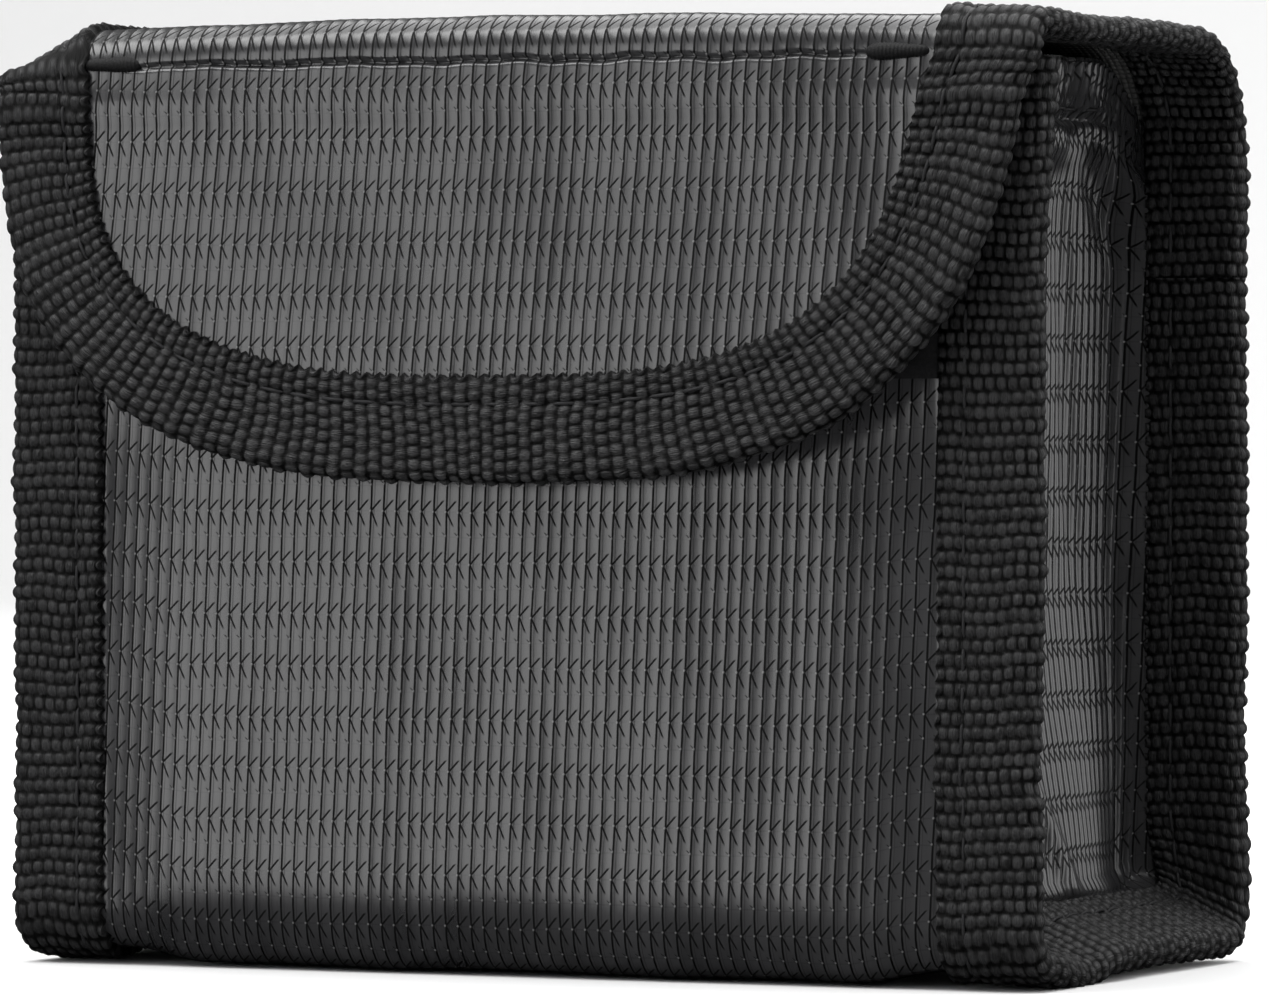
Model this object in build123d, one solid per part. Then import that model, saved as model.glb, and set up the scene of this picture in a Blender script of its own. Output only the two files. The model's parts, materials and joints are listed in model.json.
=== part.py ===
"""Fire-resistant battery safe bag: a boxy sewn bag with a fold-over lid and a hook-and-loop flap.

Frame: +X along the bag's width, +Y from the flap side to the back, +Z up. The origin is the middle
of the overall box at the surface that the bag stands on. All sizes are in millimetres.

The outer cloth is one long strip in the real bag: front, bottom, back, lid and flap. It is cut here
at its two fold lines, so that lid and flap can turn. The same holds for its lining and its binding.
"""

import os
from math import cos, pi, radians, sin, tan

from build123d import *

# ---- driving dimensions ------------------------------------------------------------------------
WIDTH = 120.0  # over the bound side rims
BODY_DEPTH = 62.0  # over the binding, front to back, without the flap
HEIGHT = 102.0  # floor to the top of the lid's binding

BINDING_T = 0.9  # one leg of the folded webbing
CLOTH_T = 0.6  # coated glass cloth
LINING_T = 0.4  # glass cloth lining
BINDING_W = 11.0  # visible width of the webbing, half of a 22 mm tape

FLAP_GAP = 0.8  # air between the body's binding and the flap
FOLD_SLIT = 0.15  # each side of a fold line

HINGE_Z = 90.0  # lid's fold line on the back
CREASE_Z = 97.0  # flap's fold line on the front
MOUTH_Z = 97.0  # top edge of the front panel
LID_BACK_R = 12.0  # outside radius of the lid's soft rear bend

FLAP_DROP = 44.3  # fold line to the lowest point of the flap
FLAP_POWER = 2.3  # superellipse exponent of the flap's outline
FLAP_POINTS = 9  # points of half the outline's curve

FOLD_R = 5.0  # bottom folds
FOOT_W = 6.0  # flat strip that each bottom fold stands on
FLOOR_RISE = 6.0  # run of the slope from foot strip to floor panel
FLOOR_BLEND_R = 2.0
CORNER_GAP = 0.3  # floor panel's edge to the corner of the bottom side seam
SIDE_RIM_SLOPE = 30.0  # degrees that the bottom side seams splay down
RIM_LIFT = 0.25  # bottom side rims above the surface
RIM_INNER_GAP = 0.1  # bottom side webbing's inner edge to the gusset wall's corner

HEM_T = 0.6  # gusset's folded top hem
HEM_H = 6.5
GUSSET_TOP = 98.2

STRIP_T = 1.1  # hook tape and loop tape
LOOP_BOTTOM_Z = 63.4
LOOP_H = 25.0
HOOK_TOP_Z = 90.0
HOOK_H = 20.0
HOOK_W = 60.0

STITCH_PITCH = 4.0
STITCH_LENGTH = 3.2
CORNER_STITCH_GAP = 2.24  # a corner of a stitched rectangle to its nearest stitches' run
STITCH_W = 0.5
STITCH_T = 0.35
STITCH_END_GAP = 2.0  # a seam's first stitch to the end of the webbing
SEAM_INSET = 3.0  # stitch line to the binding's inner edge
BOTTOM_SEAM_INSET = 4.0  # the same on the bottom side seams
STRIP_SEAM_INSET = 2.0
HEM_SEAM_Z = 92.6
HEM_SEAM_END_GAP = 1.0
MOUTH_SEAM_DROP = 4.5
CREASE_SEAM_DROP = 1.2
CREASE_SEAM_W = 90.0

TACK_W = 6.5  # bar tack beside the flap's binding
TACK_H = 1.6
TACK_T = 0.6
TACK_CLEARANCE = 0.5  # beside the binding's inner edge

# ---- derived places ----------------------------------------------------------------------------
SIDE_X = WIDTH / 2
PANEL_X = SIDE_X - BINDING_W  # where the side seams start
CLOTH_X = SIDE_X - BINDING_T  # cloth edges inside the folded binding

SHEET_T = 2 * BINDING_T + CLOTH_T + LINING_T  # bound edge of lid and flap
SEAM_T = 2 * BINDING_T + 2 * CLOTH_T + 2 * LINING_T  # bound seam of the body

DEPTH = BODY_DEPTH + FLAP_GAP + SHEET_T
BACK_Y = DEPTH / 2  # binding's outer face at the back
FLAP_Y = -DEPTH / 2  # binding's outer face on the flap
FRONT_Y = FLAP_Y + SHEET_T + FLAP_GAP  # binding's outer face on the front

CLOTH_FRONT_Y = FRONT_Y + BINDING_T
CLOTH_BACK_Y = BACK_Y - BINDING_T
SEAM_FRONT_Y = CLOTH_FRONT_Y + CLOTH_T + LINING_T  # wrap lining meets gusset lining
SEAM_BACK_Y = CLOTH_BACK_Y - CLOTH_T - LINING_T
INNER_FRONT_Y = FRONT_Y + SEAM_T
INNER_BACK_Y = BACK_Y - SEAM_T

GUSSET_X = PANEL_X - CLOTH_T - LINING_T  # inner face of the gusset's lining
SLOPE = radians(SIDE_RIM_SLOPE)
HALF_STACK = SEAM_T / 2
SEAM_Z = RIM_LIFT + BINDING_W * sin(SLOPE) + HALF_STACK * cos(SLOPE)
FLOOR_Z = SEAM_Z - CLOTH_T - LINING_T  # underside of the floor panel

BACK_TOP_Z = HINGE_Z - FOLD_SLIT
CREASE_R = HEIGHT - CREASE_Z - FOLD_SLIT  # outside radius of the lid's front bend
LID_SEAM_START = CREASE_R + STITCH_END_GAP / 2
BEND_Y = BACK_Y - LID_BACK_R
TALL = 3 * HEIGHT
SAME_PLACE = 0.01  # points nearer than this are one point
SIDES = {"left": -1, "right": 1}


# ---- helpers -----------------------------------------------------------------------------------
def block(x_range, y_range, z_range):
    """A box between two corners, each range given as (low, high) in either order."""
    low = [min(r) for r in (x_range, y_range, z_range)]
    size = [abs(r[1] - r[0]) for r in (x_range, y_range, z_range)]
    return Pos(*low) * Box(*size, align=(Align.MIN, Align.MIN, Align.MIN))


def along_x(face, x_range):
    """Extrude a face drawn in the YZ plane from x_range[0] to x_range[1]."""
    return Pos(min(x_range), 0, 0) * extrude(Plane.YZ * face, abs(x_range[1] - x_range[0]))


def along_y(face, y_range):
    """Extrude a face drawn in the XZ plane from y_range[0] to y_range[1]."""
    return Pos(0, max(y_range), 0) * extrude(Plane.XZ * face, abs(y_range[1] - y_range[0]))


def polygon(points):
    """A face with straight sides."""
    return make_face(Polyline(*points, close=True))


def bent_layer(start, corner, end, near, far):
    """A strip between two distances to the left of a path with one corner, mitred there."""

    def unit(a, b):
        length = ((b[0] - a[0]) ** 2 + (b[1] - a[1]) ** 2) ** 0.5
        return (b[0] - a[0]) / length, (b[1] - a[1]) / length

    first, second = unit(start, corner), unit(corner, end)
    left = [(-first[1], first[0]), (-second[1], second[0])]
    share = 1 + left[0][0] * left[1][0] + left[0][1] * left[1][1]
    mitre = tuple((left[0][k] + left[1][k]) / share for k in (0, 1))

    def line(distance):
        return [
            (start[0] + left[0][0] * distance, start[1] + left[0][1] * distance),
            (corner[0] + mitre[0] * distance, corner[1] + mitre[1] * distance),
            (end[0] + left[1][0] * distance, end[1] + left[1][1] * distance),
        ]

    return polygon(line(near) + line(far)[::-1])


def seam_point(along, across):
    """A point of the right bottom seam's section: along the splayed rim and above its middle."""
    return (
        GUSSET_X + along * cos(SLOPE) + across * sin(SLOPE),
        SEAM_Z - along * sin(SLOPE) + across * cos(SLOPE),
    )


def mirrored(shape, side):
    """The shape on the right side, or its mirror image on the left."""
    return shape if side > 0 else mirror(shape, about=Plane.YZ)


def stitches(places):
    """Stitch bars from a list of (point, direction along the seam, outward normal)."""
    bar = Box(STITCH_LENGTH, STITCH_W, STITCH_T, align=(Align.CENTER, Align.CENTER, Align.MIN))
    return [Plane(origin=p, x_dir=d, z_dir=n) * bar for p, d, n in places]


def straight_seam(first, last, normal):
    """Places of evenly spaced stitches on a straight line between two points."""
    a, b = Vector(*first), Vector(*last)
    count = max(1, int((b - a).length // STITCH_PITCH))
    step = (b - a) / count
    return [(a + step * (k + 0.5), (b - a).normalized(), normal) for k in range(count)]


def frame_seam(x_half, z_low, z_high, y, normal):
    """Places of stitches round a rectangle in a plane of constant y."""
    corners = [(-x_half, y, z_low), (x_half, y, z_low), (x_half, y, z_high), (-x_half, y, z_high)]
    places = []
    for k, corner in enumerate(corners):
        a, b = Vector(*corner), Vector(*corners[(k + 1) % 4])
        run = (b - a).normalized() * CORNER_STITCH_GAP
        places += straight_seam(a + run, b - run, normal)
    return places


def save(name, shapes):
    """Write one node's solids as parts/NAME.step."""
    solids = [s for shape in (shapes if isinstance(shapes, list) else [shapes]) for s in shape.solids()]
    node = solids[0] if len(solids) == 1 else Compound(children=solids)
    node.label = name
    export_step(node, f"parts/{name}.step")


# ---- body: wrap, gussets, binding --------------------------------------------------------------
def body_region():
    """Side view of the space inside the wrap's outer face, open-ended upwards."""
    foot_front = CLOTH_FRONT_Y + FOLD_R + FOOT_W
    foot_back = CLOTH_BACK_Y - FOLD_R - FOOT_W
    outline = polygon(
        [
            (CLOTH_FRONT_Y, TALL),
            (CLOTH_FRONT_Y, 0),
            (foot_front, 0),
            (foot_front + FLOOR_RISE, FLOOR_Z),
            (foot_back - FLOOR_RISE, FLOOR_Z),
            (foot_back, 0),
            (CLOTH_BACK_Y, 0),
            (CLOTH_BACK_Y, TALL),
        ]
    )

    def corners(ys):
        low = [v for v in outline.vertices() if v.Y < TALL / 2]
        return [v for v in low if any(abs(v.X - y) < SAME_PLACE for y in ys)]

    outline = fillet(corners((CLOTH_FRONT_Y, CLOTH_BACK_Y)), FOLD_R)
    others = corners((foot_front, foot_front + FLOOR_RISE, foot_back - FLOOR_RISE, foot_back))
    return fillet(others, FLOOR_BLEND_R)


def body_layer(inset, thickness):
    """One cloth layer of the wrap, as wide as the floor, with the side margins in the seams."""
    region = body_region()
    outer = offset(region, -inset, kind=Kind.INTERSECTION) if inset else region
    band = outer - offset(region, -inset - thickness, kind=Kind.INTERSECTION)
    band &= Pos(0, MOUTH_Z / 2) * Rectangle(TALL, MOUTH_Z)
    floor_x = GUSSET_X - CORNER_GAP
    layer = along_x(band, (-floor_x, floor_x))
    layer -= block((-TALL, TALL), (0, TALL), (BACK_TOP_Z, TALL))
    front = (CLOTH_FRONT_Y + inset, CLOTH_FRONT_Y + inset + thickness)
    back = (CLOTH_BACK_Y - inset - thickness, CLOTH_BACK_Y - inset)
    far = -CLOTH_T - LINING_T + inset
    for side in SIDES.values():
        margin = block((floor_x, CLOTH_X), front, (RIM_LIFT, MOUTH_Z))
        margin += block((floor_x, CLOTH_X), back, (RIM_LIFT, BACK_TOP_Z))
        strip = bent_layer(
            (floor_x, SEAM_Z),
            (GUSSET_X, SEAM_Z),
            seam_point(BINDING_W - BINDING_T, 0),
            far,
            far + thickness,
        )
        margin += along_y(strip, (INNER_FRONT_Y, INNER_BACK_Y))
        layer += mirrored(margin, side)
    return layer


def gusset_layer(near, far):
    """One layer of the right gusset: wall, front and back margins, and the splayed bottom margin."""
    front_y, back_y = SEAM_FRONT_Y + near, SEAM_BACK_Y - near
    x_range = (GUSSET_X + near, GUSSET_X + far)
    wall = block(x_range, (front_y, back_y), (SEAM_Z + 2 * HALF_STACK, GUSSET_TOP))
    wall -= block((0, SIDE_X), (BEND_Y, TALL), (HINGE_Z, TALL))
    corner = Cylinder(GUSSET_TOP - HINGE_Z, far - near)
    corner = Pos(sum(x_range) / 2, BEND_Y, HINGE_Z) * Rot(0, 90, 0) * corner
    wall += corner & block((0, SIDE_X), (0, back_y), (BEND_Y, TALL))
    wall += block((GUSSET_X + near, CLOTH_X), (front_y, SEAM_FRONT_Y + far), (RIM_LIFT, MOUTH_Z))
    wall += block((GUSSET_X + near, CLOTH_X), (SEAM_BACK_Y - far, back_y), (RIM_LIFT, BACK_TOP_Z))
    strip = bent_layer(
        (GUSSET_X, SEAM_Z + 2 * HALF_STACK),
        (GUSSET_X, SEAM_Z),
        seam_point(BINDING_W - BINDING_T, 0),
        near,
        far,
    )
    return wall + along_y(strip, (INNER_FRONT_Y, INNER_BACK_Y))


def gusset_hem():
    """The right gusset's top edge, folded over outwards."""
    return block(
        (PANEL_X, PANEL_X + HEM_T),
        (INNER_FRONT_Y, BEND_Y),
        (GUSSET_TOP - HEM_H, GUSSET_TOP),
    )


def body_binding():
    """The right side's webbing: a folded channel down the front, under the side and up the back."""
    channel = block((PANEL_X, SIDE_X), (FRONT_Y, INNER_FRONT_Y), (RIM_LIFT, MOUTH_Z))
    channel -= block(
        (PANEL_X, CLOTH_X), (CLOTH_FRONT_Y, INNER_FRONT_Y - BINDING_T), (RIM_LIFT, MOUTH_Z)
    )
    back = block((PANEL_X, SIDE_X), (INNER_BACK_Y, BACK_Y), (RIM_LIFT, BACK_TOP_Z))
    back -= block(
        (PANEL_X, CLOTH_X), (INNER_BACK_Y + BINDING_T, CLOTH_BACK_Y), (RIM_LIFT, BACK_TOP_Z)
    )
    leg_start = HALF_STACK * tan((pi / 2 - SLOPE) / 2) + RIM_INNER_GAP
    outside = [
        (leg_start, -HALF_STACK),
        (BINDING_W, -HALF_STACK),
        (BINDING_W, HALF_STACK),
        (leg_start, HALF_STACK),
    ]
    slot_h, slot_end = HALF_STACK - BINDING_T, BINDING_W - BINDING_T
    slot = [(0, -slot_h), (slot_end, -slot_h), (slot_end, slot_h), (0, slot_h)]
    bottom = polygon([seam_point(*p) for p in outside]) - polygon([seam_point(*p) for p in slot])
    return channel + back + along_y(bottom, (INNER_FRONT_Y, INNER_BACK_Y))


def body_binding_stitches():
    """Stitches on the right binding's outward faces."""
    x = PANEL_X + SEAM_INSET
    low, gap = RIM_LIFT + STITCH_END_GAP, STITCH_END_GAP
    places = straight_seam((x, FRONT_Y, low), (x, FRONT_Y, MOUTH_Z - gap), (0, -1, 0))
    places += straight_seam((x, BACK_Y, low), (x, BACK_Y, BACK_TOP_Z - gap), (0, 1, 0))
    seam_x, seam_z = seam_point(BOTTOM_SEAM_INSET, HALF_STACK)
    first = (seam_x, INNER_FRONT_Y + gap, seam_z)
    last = (seam_x, INNER_BACK_Y - gap, seam_z)
    return places + straight_seam(first, last, (sin(SLOPE), 0, cos(SLOPE)))


def build_body():
    """Every piece of the bag's open box."""
    save("main_wrap", body_layer(0, CLOTH_T))
    save("main_wrap_lining", body_layer(CLOTH_T, LINING_T))
    cloth = gusset_layer(LINING_T, LINING_T + CLOTH_T) + gusset_hem()
    lining = gusset_layer(0, LINING_T)
    binding = body_binding()
    hem_x = PANEL_X + HEM_T
    hem_first = (hem_x, INNER_FRONT_Y + HEM_SEAM_END_GAP, HEM_SEAM_Z)
    hem_last = (hem_x, BEND_Y - HEM_SEAM_END_GAP, HEM_SEAM_Z)
    hem_places = straight_seam(hem_first, hem_last, (1, 0, 0))
    for name, side in SIDES.items():
        save(f"side_gusset_{name}", mirrored(cloth, side))
        save(f"side_lining_{name}", mirrored(lining, side))
        save(f"body_binding_{name}", mirrored(binding, side))
        save(
            f"body_binding_thread_{name}",
            [mirrored(s, side) for s in stitches(body_binding_stitches())],
        )
        save(f"gusset_hem_thread_{name}", [mirrored(s, side) for s in stitches(hem_places)])

    loop_top = LOOP_BOTTOM_Z + LOOP_H
    loop_face = CLOTH_FRONT_Y - STRIP_T
    strip = block((-PANEL_X, PANEL_X), (loop_face, CLOTH_FRONT_Y), (LOOP_BOTTOM_Z, loop_top))
    save("loop_strip", strip)
    loop_seam = frame_seam(
        PANEL_X - STRIP_SEAM_INSET,
        LOOP_BOTTOM_Z + STRIP_SEAM_INSET,
        loop_top - STRIP_SEAM_INSET,
        loop_face,
        (0, -1, 0),
    )
    save("loop_strip_thread", stitches(loop_seam))
    seam_z = MOUTH_Z - MOUTH_SEAM_DROP
    left_end, right_end = (-PANEL_X, CLOTH_FRONT_Y, seam_z), (PANEL_X, CLOTH_FRONT_Y, seam_z)
    save("mouth_hem_thread", stitches(straight_seam(left_end, right_end, (0, -1, 0))))


# ---- lid ---------------------------------------------------------------------------------------
def lid_band(inset, thickness):
    """Side view of one layer of the lid: up from the rear fold line, over the top, down the front."""

    def region(depth):
        width, top = DEPTH - 2 * depth, HEIGHT - depth
        face = Pos(0, top / 2) * Rectangle(width, top)
        front_corner = face.vertices().group_by(Axis.Y)[-1].sort_by(Axis.X)[0]
        face = fillet([front_corner], CREASE_R - depth)
        back_corner = face.vertices().group_by(Axis.Y)[-1].sort_by(Axis.X)[-1]
        return fillet([back_corner], LID_BACK_R - depth)

    band = region(inset) - region(inset + thickness)
    front = Pos(-TALL / 2, CREASE_Z + FOLD_SLIT + TALL / 2) * Rectangle(TALL, TALL)
    back = Pos(TALL / 2, HINGE_Z + FOLD_SLIT + TALL / 2) * Rectangle(TALL, TALL)
    return band & (front + back)


def lid_binding():
    """The right side's webbing, folded round the lid's edge."""
    whole = along_x(lid_band(0, SHEET_T), (PANEL_X, SIDE_X))
    return whole - along_x(lid_band(BINDING_T, CLOTH_T + LINING_T), (PANEL_X, CLOTH_X))


def build_lid():
    """Every piece that turns about the rear fold line."""
    save("lid_panel", along_x(lid_band(BINDING_T, CLOTH_T), (-CLOTH_X, CLOTH_X)))
    save("lid_lining", along_x(lid_band(BINDING_T + CLOTH_T, LINING_T), (-CLOTH_X, CLOTH_X)))
    binding = lid_binding()
    x = PANEL_X + SEAM_INSET
    first, last = (x, FLAP_Y + LID_SEAM_START, HEIGHT), (x, BEND_Y, HEIGHT)
    places = straight_seam(first, last, (0, 0, 1))
    for name, side in SIDES.items():
        save(f"lid_binding_{name}", mirrored(binding, side))
        save(f"lid_binding_thread_{name}", [mirrored(s, side) for s in stitches(places)])


# ---- flap --------------------------------------------------------------------------------------
def flap_curve(half_width, drop):
    """The outline's right half: a superellipse quarter from the middle of the flap up to the fold."""
    top = CREASE_Z - FOLD_SLIT
    points = []
    for k in range(FLAP_POINTS):
        angle = pi / 2 * k / (FLAP_POINTS - 1)
        across, down = sin(angle) ** (2 / FLAP_POWER), cos(angle) ** (2 / FLAP_POWER)
        points.append((half_width * across, top - drop * down))
    return Spline(*points, tangents=[(1, 0), (0, 1)])


def flap_outline(half_width, drop):
    """A superellipse half below the fold line."""
    top = CREASE_Z - FOLD_SLIT
    right = flap_curve(half_width, drop)
    left = mirror(right, about=Plane.YZ)
    return make_face([right, Line((half_width, top), (-half_width, top)), left])


def flap_plate(inset, y_range):
    """A plate with the flap's outline, smaller by the inset."""
    drop = FLAP_DROP - FOLD_SLIT - inset
    return along_y(flap_outline(SIDE_X - inset, drop), y_range)


def flap_seam(inset, y, normal):
    """Places of stitches along the flap's outline, set in from its edge."""
    curve = flap_curve(SIDE_X - inset, FLAP_DROP - inset)
    count = int(curve.length // STITCH_PITCH)
    places = []
    for k in range(count):
        share = (k + 0.5) / count
        point = curve.position_at(share)
        along = curve.tangent_at(share)
        for side in SIDES.values():
            place = Vector(side * point.X, y, point.Y)
            places.append((place, Vector(side * along.X, 0, along.Y), normal))
    return places


def build_flap():
    """Every piece that turns about the crease."""
    cloth_y = FLAP_Y + BINDING_T
    lining_y = cloth_y + CLOTH_T
    inner_y = lining_y + LINING_T
    save("flap_panel", flap_plate(BINDING_T, (cloth_y, lining_y)))
    save("flap_lining", flap_plate(BINDING_T, (lining_y, inner_y)))
    binding = flap_plate(0, (FLAP_Y, FLAP_Y + SHEET_T)) - flap_plate(BINDING_W, (2 * FLAP_Y, 0))
    save("flap_binding", binding - flap_plate(BINDING_T, (cloth_y, inner_y)))
    save("flap_binding_thread", stitches(flap_seam(BINDING_W - SEAM_INSET, FLAP_Y, (0, -1, 0))))

    hook_z = (HOOK_TOP_Z - HOOK_H, HOOK_TOP_Z)
    save("hook_strip", block((-HOOK_W / 2, HOOK_W / 2), (inner_y, inner_y + STRIP_T), hook_z))
    hook_seam = frame_seam(
        HOOK_W / 2 - STRIP_SEAM_INSET,
        hook_z[0] + STRIP_SEAM_INSET,
        hook_z[1] - STRIP_SEAM_INSET,
        cloth_y,
        (0, -1, 0),
    )
    save("hook_strip_thread", stitches(hook_seam))

    seam_z = CREASE_Z - CREASE_SEAM_DROP
    half = CREASE_SEAM_W / 2 - TACK_W
    left_end, right_end = (-half, cloth_y, seam_z), (half, cloth_y, seam_z)
    save("crease_thread", stitches(straight_seam(left_end, right_end, (0, -1, 0))))
    tack_z = (seam_z - TACK_H / 2, seam_z + TACK_H / 2)
    tack_x = PANEL_X - TACK_CLEARANCE
    tack = block((tack_x - TACK_W, tack_x), (cloth_y - TACK_T, cloth_y), tack_z)
    for name, side in SIDES.items():
        save(f"bar_tack_{name}", mirrored(tack, side))


os.makedirs("parts", exist_ok=True)
build_body()
build_lid()
build_flap()
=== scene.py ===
import json
from math import cos, pi, radians, sin, tan

import bpy
import numpy as np
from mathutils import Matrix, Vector


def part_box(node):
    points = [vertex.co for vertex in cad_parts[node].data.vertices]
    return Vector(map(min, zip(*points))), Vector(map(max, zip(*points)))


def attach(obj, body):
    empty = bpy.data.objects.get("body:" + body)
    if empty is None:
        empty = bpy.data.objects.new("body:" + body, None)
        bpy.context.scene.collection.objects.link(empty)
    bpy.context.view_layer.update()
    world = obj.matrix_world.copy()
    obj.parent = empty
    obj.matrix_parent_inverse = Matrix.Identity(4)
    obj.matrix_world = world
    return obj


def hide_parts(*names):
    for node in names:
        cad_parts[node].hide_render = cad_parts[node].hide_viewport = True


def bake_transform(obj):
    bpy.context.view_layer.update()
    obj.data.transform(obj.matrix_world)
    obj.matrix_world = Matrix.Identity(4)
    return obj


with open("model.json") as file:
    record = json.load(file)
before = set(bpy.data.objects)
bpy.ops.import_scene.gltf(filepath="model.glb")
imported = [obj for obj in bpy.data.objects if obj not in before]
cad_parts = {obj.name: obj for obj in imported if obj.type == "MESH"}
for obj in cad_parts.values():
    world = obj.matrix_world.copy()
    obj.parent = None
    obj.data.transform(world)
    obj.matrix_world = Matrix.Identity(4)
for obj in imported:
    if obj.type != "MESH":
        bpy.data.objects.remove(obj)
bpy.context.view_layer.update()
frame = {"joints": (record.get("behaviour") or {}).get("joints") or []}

# Lengths below are in millimetres; meshes are written in metres.
MM = 0.001


def span(node):
    """Lowest and highest corner of a CAD node, in millimetres."""
    low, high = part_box(node)
    return np.array(low) / MM, np.array(high) / MM


JOINT = {j["name"]: np.array(j["pos_m"]) / MM for j in frame["joints"]}

# ---- sizes read from the frame ----
BODY_LOW, BODY_HIGH = span("body_binding_right")
LID_LOW, LID_HIGH = span("lid_binding_right")
FLAP_LOW = span("flap_binding")[0]
GUSSET_TOP = span("side_gusset_right")[1][2]
LOOP_LOW, LOOP_HIGH = span("loop_strip")
HOOK_LOW, HOOK_HIGH = span("hook_strip")

RIM_X = BODY_HIGH[0]
ROOT_X = LID_LOW[0]  # inner edge of the binding
TAPE_W = RIM_X - ROOT_X
FRONT_Y, BACK_Y = BODY_LOW[1], BODY_HIGH[1]
LID_Z = LID_HIGH[2]
FLAP_Y = FLAP_LOW[1]
CREASE_Z = JOINT["flap_fold"][2]
HINGE_Z = JOINT["lid_fold"][2]
FLAP_DROP = CREASE_Z - FLAP_LOW[2]

BODY_HALF_T = 1.7  # half thickness of a bound body seam, without the weave's relief
SHEET_HALF_T = 1.3  # the same for lid and flap
RELIEF = 0.42  # height of the webbing's picks, from their grooves
SEAM_FRONT = FRONT_Y + BODY_HALF_T + RELIEF / 2
SEAM_BACK = BACK_Y - BODY_HALF_T - RELIEF / 2
SEAM_LID = LID_Z - SHEET_HALF_T - RELIEF / 2
SEAM_FLAP = FLAP_Y + SHEET_HALF_T + RELIEF / 2
CLOTH_T = 0.6
LINING_T = 0.4
LINING_INSET = CLOTH_T + 0.15
BACK_SPLIT_Z = 74.0  # below this the back rides on the bag alone

SEAM_INSET = 3.0  # stitch line from the binding's inner edge
STITCH_PITCH = 3.9
STITCH_POINTS = 7  # points along one stitch
THREAD_R = 0.19
FINE_THREAD_R = 0.2  # on the hems and the crease
PLY_RELIEF = 0.14  # how deep the groove between a thread's two plies is, against its radius

RIB = 1.5  # pitch of the cloth's ribs
NODE_PITCH = 5.5  # repeat of the cloth's pattern along a rib
LEAN = 0.03  # ribs that the pattern drifts sideways in each millimetre
PICK = 1.5  # pitch of the webbing's rows
BEAD = 1.3  # pitch of the beads in a row
PICK_STEPS = 5.5  # mesh rows to a pick
BEAD_STEPS = 5  # mesh columns to a bead
LINING_PITCH = 0.7  # threads of the lining's plain weave


# ---- mesh helpers ----
def smooth(low, high, value):
    """Smooth step from 0 at low to 1 at high."""
    t = np.clip((np.asarray(value, float) - low) / (high - low), 0, 1)
    return t * t * (3 - 2 * t)


def wave_noise(seed, *coords):
    """Soft repeatable noise between about -1 and 1: a few sine waves in seeded directions."""
    rng = np.random.default_rng(seed)
    total = 0.0
    for k in range(6):
        direction = rng.normal(size=len(coords))
        phase = rng.uniform(0, 2 * pi)
        scale = 1.35**k
        total = total + np.sin(sum(c * d for c, d in zip(coords, direction)) * scale + phase) / 1.6**k
    return total / 2.2


def hill(value, width):
    """A soft hill: 1 where the value is 0, falling off over a width."""
    return np.exp(-((value / width) ** 2))


def paired(u, v):
    """Two arrays that broadcast together as one array of pairs, for UV places."""
    return np.stack(np.broadcast_arrays(u, v), -1)


def mirrored(points, side):
    """Points of the right side, for the side asked: 1 for right, -1 for left."""
    return points * np.array([side, 1, 1])


def unit(v):
    return v / np.maximum(np.linalg.norm(v, axis=-1, keepdims=True), 1e-9)


def grid_normals(points):
    """Normals of a grid of points: first axis crossed with second axis."""
    return unit(np.cross(np.gradient(points, axis=0), np.gradient(points, axis=1)))


def placed(name, data):
    """A new object in the scene for a mesh, light or camera."""
    obj = bpy.data.objects.new(name, data)
    bpy.context.scene.collection.objects.link(obj)
    return obj


def smooth_faces(mesh):
    mesh.polygons.foreach_set("use_smooth", np.ones(len(mesh.polygons), bool))


def make_object(name, points, faces, uv=None, flip=False, crown=None, sharp=None):
    """A smooth mesh object from points in millimetres, quads, and a UV and crown value for each point.

    sharp lists the edges, as pairs of points, that are not smoothed over.
    """
    points = np.asarray(points, float).reshape(-1, 3) * MM
    faces = np.asarray(faces, int)
    if flip:
        faces = faces[:, ::-1]
    mesh = bpy.data.meshes.new(name)
    mesh.vertices.add(len(points))
    mesh.vertices.foreach_set("co", points.ravel())
    mesh.loops.add(faces.size)
    mesh.loops.foreach_set("vertex_index", faces.ravel())
    mesh.polygons.add(len(faces))
    mesh.polygons.foreach_set("loop_start", np.arange(len(faces)) * faces.shape[1])
    mesh.update(calc_edges=True)
    smooth_faces(mesh)
    if uv is not None:
        layer = mesh.uv_layers.new(name="mm")
        layer.data.foreach_set("uv", np.asarray(uv, float).reshape(-1, 2)[faces.ravel()].ravel())
    if sharp is not None:
        ends = np.zeros(len(mesh.edges) * 2, int)
        mesh.edges.foreach_get("vertices", ends)
        ends, sharp = np.sort(ends.reshape(-1, 2), 1), np.sort(sharp, 1)
        keys = [pairs[:, 0] * len(points) + pairs[:, 1] for pairs in (ends, sharp)]
        is_sharp = np.isin(*keys)
        mesh.attributes.new("sharp_edge", "BOOLEAN", "EDGE").data.foreach_set("value", is_sharp)
    if crown is not None:
        layer = mesh.attributes.new("crown", "FLOAT", "POINT")
        layer.data.foreach_set("value", np.asarray(crown, float).ravel())
    mesh.validate()
    return placed(name, mesh)


def cells(rows, columns, closed=False):
    """Quads of a grid as index arrays (cell rows, cell columns, 4); closed joins the outer columns."""
    i = np.arange(rows - 1)[:, None]
    j = np.arange(columns if closed else columns - 1)[None, :]
    i2, j2 = i + 1, (j + 1) % columns
    return np.stack([i * columns + j, i2 * columns + j, i2 * columns + j2, i * columns + j2], -1)


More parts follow.
